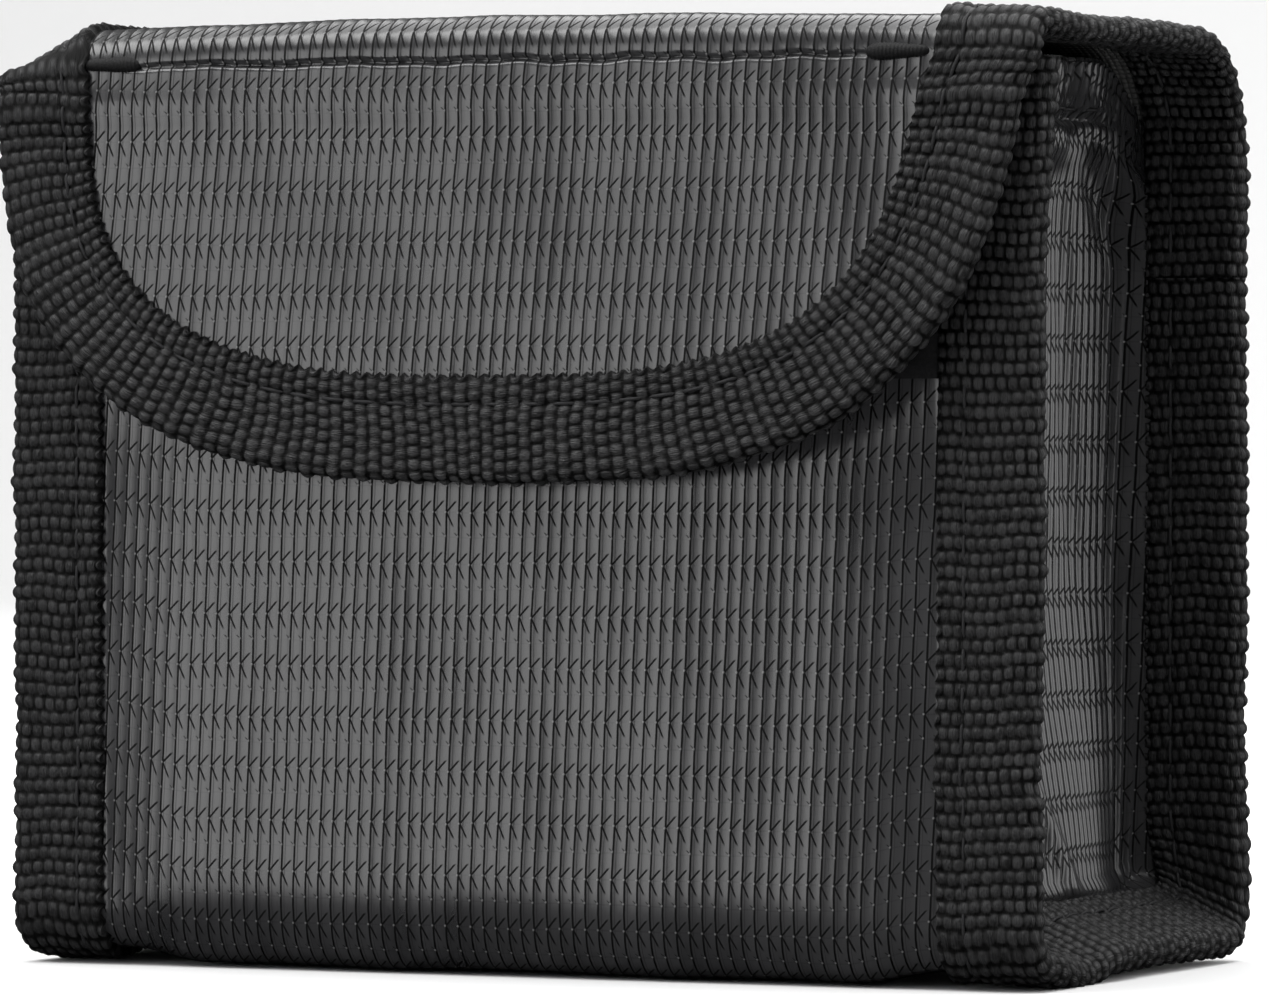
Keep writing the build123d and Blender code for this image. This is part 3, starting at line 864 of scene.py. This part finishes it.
def columns(half_width):
    """Positions across the cloth, close enough to show its ribs."""
    count = int(2 * half_width / (RIB / RIB_STEPS))
    return np.linspace(-half_width, half_width, count + 1)


def lining_columns(count):
    """Positions across a lining, which ends a little inside the cloth."""
    return np.linspace(-ROOT_X - TUCK + 1, ROOT_X + TUCK - 1, count)


def place_rows(path, spacing, fine=None):
    """Path points at a spacing, with closer rows inside an optional (from, to, spacing) stretch."""
    length = run_length(path)
    at = np.linspace(0, length[-1], int(length[-1] / spacing) + 1)
    if fine:
        low, high, close = fine
        extra = np.arange(low, high, close)
        at = np.unique(np.concatenate([at[(at < low) | (at > high)], extra]))
    return np.stack([np.interp(at, length, path[:, k]) for k in range(path.shape[1])], -1), at


def wrap_paths(inset, hem):
    """YZ paths of the bag's strip in the middle and at its sewn edges, row for row."""
    front, back = FRONT_Y + COVER + inset, BACK_Y - COVER - inset
    low = COVER - 0.1 + inset
    floor_mid, floor_edge = 2.6 + inset, BOTTOM_ROOT_Z - 0.4 + inset
    top = CREASE_Z - 0.3
    counts = [36, 9, 3, 4, 6, 6, 14, 6, 10, 9, 30]
    middle = [(front, top), (front, inset), (RISE_FROM_Y, 0.7 + inset)]
    middle += [(RISE_TO_Y, floor_mid), (13, floor_mid)]
    middle += [(back, inset), (back, BACK_SPLIT_Z)]
    edge = [(front, top), (front, low + 0.5), (RISE_FROM_Y, low + 1.4)]
    edge += [(RISE_TO_Y, floor_edge), (15, floor_edge)]
    edge += [(back - 0.4, floor_edge), (back, BACK_SPLIT_Z)]
    radii = [4.2 - inset, 9, 12, 12, 4.2 - inset]
    edge_radii = [4.6 - inset, 9, 12, 12, 5.4 - inset]
    if hem:
        fold = [(front + FOLD_T, top - HEM), (front + FOLD_T, top)]
        middle, edge = fold + middle, fold + edge
        radii, edge_radii = [HEM_R, HEM_R] + radii, [HEM_R, HEM_R] + edge_radii
        counts = [4, 5, 1, 5] + counts
    return route(middle, radii, counts), route(edge, edge_radii, counts)


def wrap_grid(inset, x, hem=False):
    """Front, floor and back panels: a grid of points, with the distance along the strip."""
    middle, edge = wrap_paths(inset, hem)
    s = run_length(middle)
    share = smooth(38, ROOT_X - 1, np.abs(x))[None, :, None]
    points = np.zeros((len(s), len(x), 3))
    points[..., 0] = x[None, :]
    points[..., 1:] = middle[:, None] * (1 - share) + edge[:, None] * share
    tilt = foot_tilt(points[..., 1], points[..., 2])
    return droop_cloth(points, tilt, tilt), s


def belly(x, z, front=True):
    """Outward swell of the front and back panels; the front one sets in below the flap."""
    across = np.clip(1 - np.abs(x / (ROOT_X - 0.3)) ** 7, 0, 1)
    rise = np.where(front, 0.25 + 1.1 * smooth(66, 52, z), 0.9 * smooth(92, 50, z))
    return across * rise * smooth(0.5, 9, z)


def crumple(x, s):
    """Soft unevenness of the whole strip of cloth; s runs from the mouth to the flap."""
    return 0.14 * wave_noise(3, x * 0.09, s * 0.07) + 0.10 * wave_noise(4, x * 0.3, s * 0.1)


def build_wrap():
    """The bag's front, bottom and back in coated cloth, with its lining."""
    x = columns(ROOT_X + TUCK)
    points, s = wrap_grid(0.0, x, hem=True)
    normal = grid_normals(points)
    outside = smooth(HEM, HEM + 3, s)[:, None]
    swell = belly(x[None, :], points[..., 2], points[..., 1] < 0) * outside
    uneven = crumple(points[..., 0], s[:, None]) * outside
    uv = paired(x[None, :], -s[:, None])
    points = points + normal * (swell + uneven + rib_relief(uv))[..., None]
    points[..., 2] = np.maximum(points[..., 2], REST_Z)
    finish_piece(cloth_sheet("wrap_cloth", points, CLOTH_T, uv), CLOTH, "bag", "main_wrap")

    x = lining_columns(100)
    points, s = wrap_grid(LINING_INSET, x)
    swell = belly(x[None, :], points[..., 2], points[..., 1] < 0) - 0.05
    points = points + grid_normals(points) * swell[..., None]
    uv = paired(x[None, :], -s[:, None])
    finish_piece(cloth_sheet("wrap_lining", points, LINING_T, uv), LINING, "bag", "main_wrap_lining")


def upper_path(inset):
    """YZ path from the back over the lid and the crease down the flap, without the flap's stand-off."""
    back, top, face = BACK_Y - COVER - inset, LID_Z - COVER - inset, FLAP_Y + COVER + inset
    points = [(back, BACK_SPLIT_Z), (back, top), (face, top), (face, FLAP_LOW[2])]
    return route(points, [LID_BEND_R + 0.5 - inset, 4.2 - inset], [8, 16, 40, 16, 60])


def upper_grid(inset, x):
    """Rear and lid-and-flap grids that share the row at mid-lid, with their run lengths."""
    path = upper_path(inset)
    length = run_length(path)
    middle = length[np.argmax(path[:, 0] < 0)]
    crease = length[np.argmax((path[:, 0] < FLAP_Y + 6) & (path[:, 1] < CREASE_Z))]
    rows, at = place_rows(path, ROW_STEP, (crease - 7, crease + 4, 0.2))
    points = np.zeros((len(at), len(x), 3))
    points[..., 0] = x[None, :]
    points[..., 1:] = rows[:, None]
    split = np.argmax(at > middle)
    return points, at, split, crease


def shape_upper(points, uv, crease, ribs):
    """Dome, puffed bend, stitched groove and the flap's hang."""
    x, s = uv[0, :, 0], -uv[:, 0, 1]
    normal = grid_normals(points)
    y, z = points[..., 1], points[..., 2]
    from_crease = (s - crease)[:, None]
    inside = np.clip(1 - np.abs(x / (ROOT_X + 1)) ** 6, 0, 1)[None, :]
    on_lid = smooth(0, -6, from_crease) * smooth(BACK_Y - 14, BACK_Y - 26, y)
    dome = 0.6 * np.cos(pi / 2 * np.clip(x / ROOT_X, -1, 1))[None, :] * on_lid
    puff = 0.6 * hill(from_crease + 2.6, 2.6) + 0.35 * hill(from_crease - 1.8, 1.8)
    wander = 0.22 * wave_noise(9, x * 0.45)[None, :]
    groove = 0.75 * hill(from_crease + wander, 0.24) * (0.9 + 0.15 * wave_noise(8, x * 0.8)[None, :])
    behind = belly(x[None, :], z, False) * (from_crease < -50)
    move = dome + behind + (puff - groove) * inside + crumple(points[..., 0], s[:, None])
    move = move + (rib_relief(uv) if ribs else 0)
    points = points + normal * move[..., None]
    hanging = (from_crease > -1) * 1.0
    points[..., 1] += flap_stand(z) * hanging
    points[..., 0] += flap_skew(z) * hanging
    on_top = (z > HINGE_Z) * smooth(0, -4, from_crease)
    return droop_cloth(points, lid_tilt(1, y, z) * on_top, lid_tilt(-1, y, z) * on_top)


def inside_flap(x, z, margin):
    """Whether a place lies inside the flap's outline by a margin."""
    wide, deep = FLAP_RIM_X - margin, FLAP_DROP - margin
    depth = np.clip((CREASE_Z - z) / deep, 0, 2)
    in_curve = np.abs(x / wide) ** FLAP_POWER + depth**FLAP_POWER < 1
    return in_curve | ((z > CREASE_Z) & (np.abs(x) < wide))


def upper_sheets(inset, x, thickness, ribs, names, finish, nodes):
    """The rear and front sheets of lid and flap for one layer."""
    points, at, split, crease = upper_grid(inset, x)
    so_far = run_length(wrap_paths(0.0, hem=True)[0])[-1]
    uv = paired(x[None, :], -(so_far + at[:, None]))
    centre = (points[split:-1, :-1] + points[split + 1 :, 1:]) / 2
    mask = inside_flap(centre[..., 0], centre[..., 2], CLOTH_MARGIN + inset)
    points = shape_upper(points, uv, so_far + crease, ribs)
    rear = cloth_sheet(names[0], points[: split + 1], thickness, uv[: split + 1])
    finish_piece(rear, finish, LID_BLEND, nodes[0])
    front = cloth_sheet(names[1], points[split:], thickness, uv[split:], mask)
    finish_piece(front, finish, FLAP_BLEND, nodes[1])


def build_upper():
    """Lid and flap in coated cloth, with their lining."""
    names, nodes = ("lid_cloth", "flap_cloth"), ("lid_panel", "flap_panel")
    upper_sheets(0.0, columns(ROOT_X + TUCK), CLOTH_T, True, names, CLOTH, nodes)
    names, nodes = ("lid_inner_cloth", "flap_inner_cloth"), ("lid_lining", "flap_lining")
    upper_sheets(LINING_INSET, lining_columns(110), LINING_T, False, names, LINING, nodes)


# ---- gussets ----
GUSSET_X = 46.4  # bed of the gusset's tray
GUSSET_REACH = ROOT_X + 4.5  # where its edge ends inside the binding
HEM_FROM = 70.0  # above this the gusset is squeezed to fit the rounded corner at its rear top
HEM_SEAM_Z = GUSSET_TOP - HEM
CORNER_LIFT = 1.9  # the tray's lower corners are rounded off, out of sight inside the binding


def gusset_points(inset, y_step, hem):
    """Grid of the right gusset, rows along Y and columns along Z: a tray with turned edges.

    Returns x, y, z, the UV places and how freely each point can bulge, 0 at the sewn edges.
    """
    gap = 0.75 - inset
    low_y, high_y, low_z = SEAM_FRONT + gap, SEAM_BACK - gap, BOTTOM_ROOT_Z + gap
    bed = GUSSET_X - inset
    across = [(low_y, GUSSET_REACH), (low_y, bed), (high_y, bed), (high_y, GUSSET_REACH)]
    across = route(across, [5 + inset, 5.5 + inset], [4, 12, 60, 14, 4])
    rise = [(low_z, GUSSET_REACH), (low_z, bed), (GUSSET_TOP, bed)]
    radii, counts = [3 + inset], [4, 8, 60]
    if hem:
        rise += [(GUSSET_TOP, bed - FOLD_T), (GUSSET_TOP - HEM, bed - FOLD_T)]
        radii, counts = radii + [HEM_R, HEM_R], [4, 8, 60, 6, 1, 6, 4]
    up = route(rise, radii, counts)
    across, run_y = place_rows(across, y_step)
    top = run_length(up)[-1] if hem else 0
    up, run_z = place_rows(up, 1.6, (top - HEM - 10, top - HEM + 2, 0.4) if hem else None)
    y, z = across[:, :1], up[None, :, 0]
    side, base = across[:, 1:] - bed, up[None, :, 1] - bed
    x = bed + (side**2.4 + np.clip(base, 0, None) ** 2.4) ** (1 / 2.4) + np.clip(base, None, 0)
    x = bed + (x - bed) * (1 - 0.7 * smooth(85, 91, z) * (y > 10))
    reach = np.clip((y - (SEAM_BACK - 12)) / 12, 0, 1)
    rear_top = HINGE_Z + (GUSSET_TOP - HINGE_Z) * np.sqrt(1 - 0.9 * reach**2)
    squeezed = HEM_FROM + (z - HEM_FROM) * (rear_top - HEM_FROM) / (GUSSET_TOP - HEM_FROM)
    z = np.where(z > HEM_FROM, squeezed, z)
    turned = np.clip(x - ROOT_X, 0, None) * (z < low_z + 4)
    z = z + (foot_root(y) - BOTTOM_ROOT_Z) * (1 - smooth(low_z, low_z + 16, z))
    from_corner = np.minimum(y - low_y, high_y - y)
    z = z + CORNER_LIFT * (1 - smooth(0, 6, from_corner)) * (1 - smooth(low_z, low_z + 16, z))
    z = z - turned * np.tan(foot_tilt(y, z))
    loose = 1 - smooth(0.25, 0.95, (x - bed) / (ROOT_X - GUSSET_X))
    return x, y + 0 * x, z, paired(run_y[:, None], run_z[None, :]), loose


def gusset_shape(y, z):
    """How far the gusset bulges: hollow at mid-height, flared at the foot, pinched at the hem."""
    between = np.clip((y - SEAM_FRONT) / (SEAM_BACK - SEAM_FRONT), 0, 1)
    arch = np.sin(pi * between) ** 0.7
    hollow = -2.0 * arch * smooth(22, 44, z) * smooth(96, 80, z)
    foot = 2.7 * (1 - smooth(7, 30, z)) * smooth(0.0, 0.25, between) * smooth(1.0, 0.62, between)
    ridge_line = (y + 6) * 0.84 + (z - 30) * 0.54
    ridge = 0.7 * hill(ridge_line, 1.6) * smooth(42, 30, z) * smooth(5, 10, z)
    fold_line = (y - 24) * 0.78 + (z - 84) * 0.62
    top_fold = -0.9 * hill(fold_line, 2.6) * smooth(70, 80, z) * smooth(5, 14, y)
    valley = -0.55 * hill(y - 17 - 0.06 * (70 - z), 2.4) * smooth(30, 50, z)
    puff = 0.9 * hill(z - 88.8, 1.9) * arch
    pinch = -1.2 * hill(z - HEM_SEAM_Z, 0.7) * arch
    lean = 1.0 * smooth(HEM_SEAM_Z, GUSSET_TOP, z) * arch
    uneven = 0.22 * wave_noise(21, y * 0.16, z * 0.06) + 0.12 * wave_noise(22, y * 0.4, z * 0.15)
    return hollow + foot + ridge + top_fold + valley + puff + pinch + lean + uneven * arch


def gusset_layer(kind, name, side, inset, y_step, thickness, finish, node):
    """One layer of a gusset; the outer cloth has a hem and ribs."""
    outside = inset == 0
    x, y, z, uv, loose = gusset_points(inset, y_step, hem=outside)
    sunk = 0.14 * np.cos(2 * pi * (uv[..., 0] / RIB - uv[..., 1] * LEAN)) if outside else 0.2
    x = x + (gusset_shape(y, z) - sunk) * loose
    points = mirrored(np.stack([x, y, z], -1), side)
    piece = cloth_sheet(f"gusset_{kind}_{name}", points, thickness * side, uv, flip=side < 0)
    finish_piece(piece, finish, "bag", f"{node}_{name}")


def build_gussets():
    """The two hollow side panels, their linings and the stitches of the top hem."""
    count, length = 6, 2.6
    bow = 0.28 - 0.5 * np.abs(np.linspace(-1, 1, count)) ** 3
    seam_z = np.full(count, HEM_SEAM_Z + 0.9)
    for name, side in (("right", 1), ("left", -1)):
        gusset_layer("cloth", name, side, 0.0, RIB / RIB_STEPS, CLOTH_T, CLOTH, "side_gusset")
        gusset_layer("lining", name, side, LINING_INSET, 1.0, LINING_T, LINING, "side_lining")
        paths = []
        for begin in np.arange(SEAM_FRONT + 8, SEAM_BACK - 8, STITCH_PITCH):
            run = np.linspace(begin, begin + length, count)
            rise = GUSSET_X + gusset_shape(run, seam_z) + bow + 0.1
            paths.append(np.stack([side * rise, run, seam_z], -1))
        seam, node = f"gusset_hem_seam_{name}", f"gusset_hem_thread_{name}"
        sew(seam, paths, THREAD_LIGHT, "bag", node, FINE_THREAD_R)


# ---- strips and small seams ----
def line_stitches(start, end, lift, length=3.0):
    """Centre paths of stitches along a straight line, bowed along lift."""
    start, end, lift = (np.array(v, float) for v in (start, end, lift))
    run = np.linalg.norm(end - start)
    along = (end - start) / run
    count = int(run / STITCH_PITCH)
    margin = (run - count * STITCH_PITCH) / 2
    t = np.linspace(0, 1, STITCH_POINTS)
    bow = 0.3 - 0.55 * np.abs(2 * t - 1) ** 3
    paths = []
    for k in range(count):
        begin = margin + k * STITCH_PITCH + (STITCH_PITCH - length) / 2
        paths.append(start + along * (begin + t * length)[:, None] + lift * bow[:, None])
    return paths


def build_seams():
    """Crease and mouth hem seams, and the bar tacks at the ends of the crease."""
    y = FLAP_Y + COVER + 0.85
    half = ROOT_X - 4
    crease = line_stitches((-half, y, CREASE_Z), (half, y, CREASE_Z), (0, -0.5, 0), length=3.8)
    sew("crease_seam", crease, THREAD_DARK, FLAP_BLEND, "crease_thread", FINE_THREAD_R)
    knots = [path[2:5] + (path[3:4] - path[2:3]) * 3.1 + np.array([0, -0.2, 0]) for path in crease]
    sew("crease_seam_knots", knots, THREAD_WHITE, FLAP_BLEND, radius=0.13)

    y, z = FRONT_Y + COVER, CREASE_Z - HEM + 0.6
    hem = line_stitches((-ROOT_X + 3, y, z), (ROOT_X - 3, y, z), (0, -1, 0))
    sew("mouth_hem_seam", hem, THREAD_DARK, "bag", "mouth_hem_thread")

    for name, side in (("left", -1), ("right", 1)):
        tack = f"bar_tack_{name}"
        finish_piece(bar_tack(f"{tack}_roll", side), THREAD_DARK, FLAP_BLEND, tack)


def bar_tack(name, side):
    """A dense roll of satin stitches over the end of the crease."""
    rings, sides, length, turns = 64, 40, 7.2, 17
    t = np.linspace(0, 1, rings)[:, None]
    angle = np.linspace(0, 2 * pi, sides, endpoint=False)[None, :]
    x = side * (ROOT_X + 0.5 - length * t)
    body = (1 - np.abs(2 * t - 1) ** 5) ** 0.5 * (0.72 + 0.28 * smooth(0.2, 0.75, t))
    ridges = 0.05 * np.sin(2 * pi * t * turns + angle)
    ridges = ridges + 0.10 * wave_noise(51, t * 6, np.cos(angle), np.sin(angle))
    radius = body * (1 + ridges)
    y = FLAP_Y + COVER + 0.1 - 0.75 * radius * np.cos(angle)
    z = CREASE_Z + 0.15 + 0.95 * radius * np.sin(angle)
    points = np.stack(np.broadcast_arrays(x, y, z), -1)
    quads = cells(rings, sides, closed=True).reshape(-1, 4)
    return make_object(name, points, quads, flip=side > 0)


def strip_slab(name, low, high, y_front, y_back, bulge):
    """A thin slab in the XZ plane with softly rounded edges, facing -Y if y_front is the lower value."""
    step = 0.8
    nx, nz = (int((high[k] - low[k]) / step) for k in (0, 2))
    x = np.linspace(low[0], high[0], nx + 1)[None, :]
    z = np.linspace(high[2], low[2], nz + 1)[:, None]
    edge = np.minimum(np.minimum(x - low[0], high[0] - x), np.minimum(z - low[2], high[2] - z))
    y = y_front + 0.35 * (1 - smooth(0, 0.9, edge)) + 0.08 * wave_noise(41, x * 0.9, z * 0.9)
    y = y - bulge(x, z)
    points = np.stack(np.broadcast_arrays(x, y, z), -1)
    return cloth_sheet(name, points, y_back - y_front, paired(x, z))


LOOP_TAPE_T, LOOP_TAPE_SUNK = 0.9, 0.75
LOOPS = 1500
LOOP_R = 0.07
HOOK_TAPE_T = 0.55
HOOK_PITCH = (1.5, 1.3)  # along X and along Z
HOOK_R = 0.11
HOOK_TALL, HOOK_LONG = 0.75, 0.9
# A hook's side view, from its foot up and over: height and reach as shares of its size.
HOOK_RISE = np.array([0, 0.35, 0.7, 1.0, 1.12, 1.0, 0.78])
HOOK_REACH = np.array([0, 0.0, 0.02, 0.14, 0.34, 0.52, 0.56])


def build_loop_tape():
    """Loop tape on the bag's front, with its pile and seam."""
    rng = np.random.default_rng(5)
    y_face = FRONT_Y + COVER - LOOP_TAPE_SUNK
    slab = strip_slab("loop_tape_ground", LOOP_LOW, LOOP_HIGH, y_face, y_face + LOOP_TAPE_T, belly)
    finish_piece(slab, LOOP, "bag", "loop_strip")
    t = np.linspace(0, pi, 6)
    tubes = []
    for _ in range(LOOPS):
        x = rng.uniform(LOOP_LOW[0] + 1.5, LOOP_HIGH[0] - 1.5)
        z = rng.uniform(LOOP_LOW[2] + 2.2, LOOP_HIGH[2] - 1.5)
        heading, wide, tall = rng.uniform(0, pi), rng.uniform(0.4, 0.8), rng.uniform(0.3, 0.55)
        reach = np.cos(t) * wide
        y = y_face - belly(x, z) + 0.05 - np.sin(t) * tall
        path = np.stack([x + reach * cos(heading), y, z + reach * sin(heading)], -1)
        tubes.append(tube(path, LOOP_R, sides=4))
    finish_piece(join_tubes("loop_tape_pile", tubes), LOOP, "bag")
    inset = np.array([2, 0, 2])
    seam = box_seam(LOOP_LOW + inset, LOOP_HIGH - inset, y_face - 0.35, -1.0, belly)
    sew("loop_tape_seam", seam, THREAD_DARK, "bag", "loop_strip_thread")


def build_hook_tape():
    """Hook tape inside the flap, with its rows of hooks and its seam."""
    inner = FLAP_Y + COVER + LINING_INSET + LINING_T + 0.1
    skew = np.array([flap_skew((HOOK_LOW[2] + HOOK_HIGH[2]) / 2), 0, 0])
    low, high = HOOK_LOW + skew, HOOK_HIGH + skew

    def hang(_, z):
        return -flap_stand(z)

    slab = strip_slab("hook_tape_ground", low, high, inner, inner + HOOK_TAPE_T, hang)
    finish_piece(slab, HOOK, "flap", "hook_strip")
    tubes = []
    for i, x in enumerate(np.arange(low[0] + 3, high[0] - 3, HOOK_PITCH[0])):
        way = 1 if i % 2 else -1
        for z in np.arange(low[2] + 3, high[2] - 3, HOOK_PITCH[1]):
            y = inner + 0.5 - hang(x, z)
            path = paired(y + HOOK_RISE * HOOK_TALL, z + way * HOOK_REACH * HOOK_LONG)
            path = np.insert(path, 0, x, axis=1)
            tubes.append(tube(path, HOOK_R, sides=5))
    finish_piece(join_tubes("hook_tape_hooks", tubes), HOOK, "flap")
    inset = np.array([1.6, 0, 1.6])
    seam = box_seam(low + inset, high - inset, inner + 0.6, 1.0, hang)
    sew("hook_tape_seam", seam, THREAD_DARK, "flap", "hook_strip_thread", FINE_THREAD_R)


def box_seam(low, high, y, out, bulge):
    """Stitches round a rectangle in the XZ plane, on a surface that bulges towards -Y."""
    corners = [(low[0], low[2]), (high[0], low[2]), (high[0], high[2]), (low[0], high[2])]
    paths = []
    for (x1, z1), (x2, z2) in zip(corners, corners[1:] + corners[:1]):
        for path in line_stitches((x1, y, z1), (x2, y, z2), (0, out, 0)):
            path[:, 1] -= bulge(path[:, 0], path[:, 2])
            paths.append(path)
    return paths


build_bindings()
build_wrap()
build_upper()
build_gussets()
build_seams()
build_loop_tape()
build_hook_tape()


# ---- camera, light and floor ----
def aim(obj, target):
    obj.rotation_euler = (Vector(target) - obj.location).to_track_quat("-Z", "Y").to_euler()


def add_camera():
    """A long lens, nearly level, from the front right."""
    yaw, pitch, distance = radians(24.96), radians(0.72), 0.947  # distance in metres
    target = Vector((0.0003, (FRONT_Y + BACK_Y) / 2 * MM, 0.0503))
    forward = Vector((-sin(yaw) * cos(pitch), cos(yaw) * cos(pitch), -sin(pitch)))
    camera = placed("camera", bpy.data.cameras.new("camera"))
    camera.data.sensor_width, camera.data.lens = 36.0, 246.80851
    camera.data.clip_start = 0.01
    camera.location = target - forward * distance
    aim(camera, target)
    bpy.context.scene.camera = camera


def add_softbox(name, place, target, size, power):
    light = bpy.data.lights.new(name, "AREA")
    light.shape = "RECTANGLE"
    light.size, light.size_y = size
    light.energy = power
    obj = placed(name, light)
    obj.location = place
    obj.visible_camera = False
    aim(obj, target)


def sweep():
    """Floor that curves up into a back wall."""
    near, wall, top, bend, half_width = -2.5, 2.6, 2.5, 1.2, 3.5  # metres
    profile = route([(near, 0), (wall, 0), (wall, top)], [bend], [4, 24, 4])
    x = np.linspace(-half_width, half_width, 5)
    points = np.zeros((len(profile), len(x), 3))
    points[..., 0] = x[None, :]
    points[..., 1:] = profile[:, None]
    quads = cells(len(profile), len(x)).reshape(-1, 4)
    return make_object("studio_sweep", points / MM, quads, flip=True)


# Softboxes: place, target, width and height in metres, and power in watts.
CENTRE = (0, 0, 0.05)
SOFTBOXES = {
    "top_box": ((0, 0.3, 1.0), (0, 0.3, 0), (1.3, 1.9), 22.0),
    "front_left_box": ((-0.49, -0.83, 0.08), CENTRE, (0.34, 0.5), 1.7),
    "left_box": ((-0.6, -0.45, 0.75), CENTRE, (0.5, 0.5), 4.5),
    "right_back_box": ((0.9, 0.4, 0.25), CENTRE, (0.7, 0.9), 4.0),
}


def add_stage():
    """Floor, a white world that glossy surfaces don't mirror, and the softboxes that they do."""
    floor = sweep()
    floor.data.materials.append(floor_paint())
    floor.visible_glossy = False
    world = bpy.data.worlds.new("studio")
    bpy.context.scene.world = world
    world.use_nodes = True
    colour, strength = world.node_tree.nodes["Background"].inputs[:2]
    colour.default_value, strength.default_value = (1.0, 1.0, 1.0, 1.0), 0.9
    world.cycles_visibility.glossy = False
    for name, settings in SOFTBOXES.items():
        add_softbox(name, *settings)
    bpy.context.scene.view_settings.view_transform = "Standard"


add_stage()
add_camera()
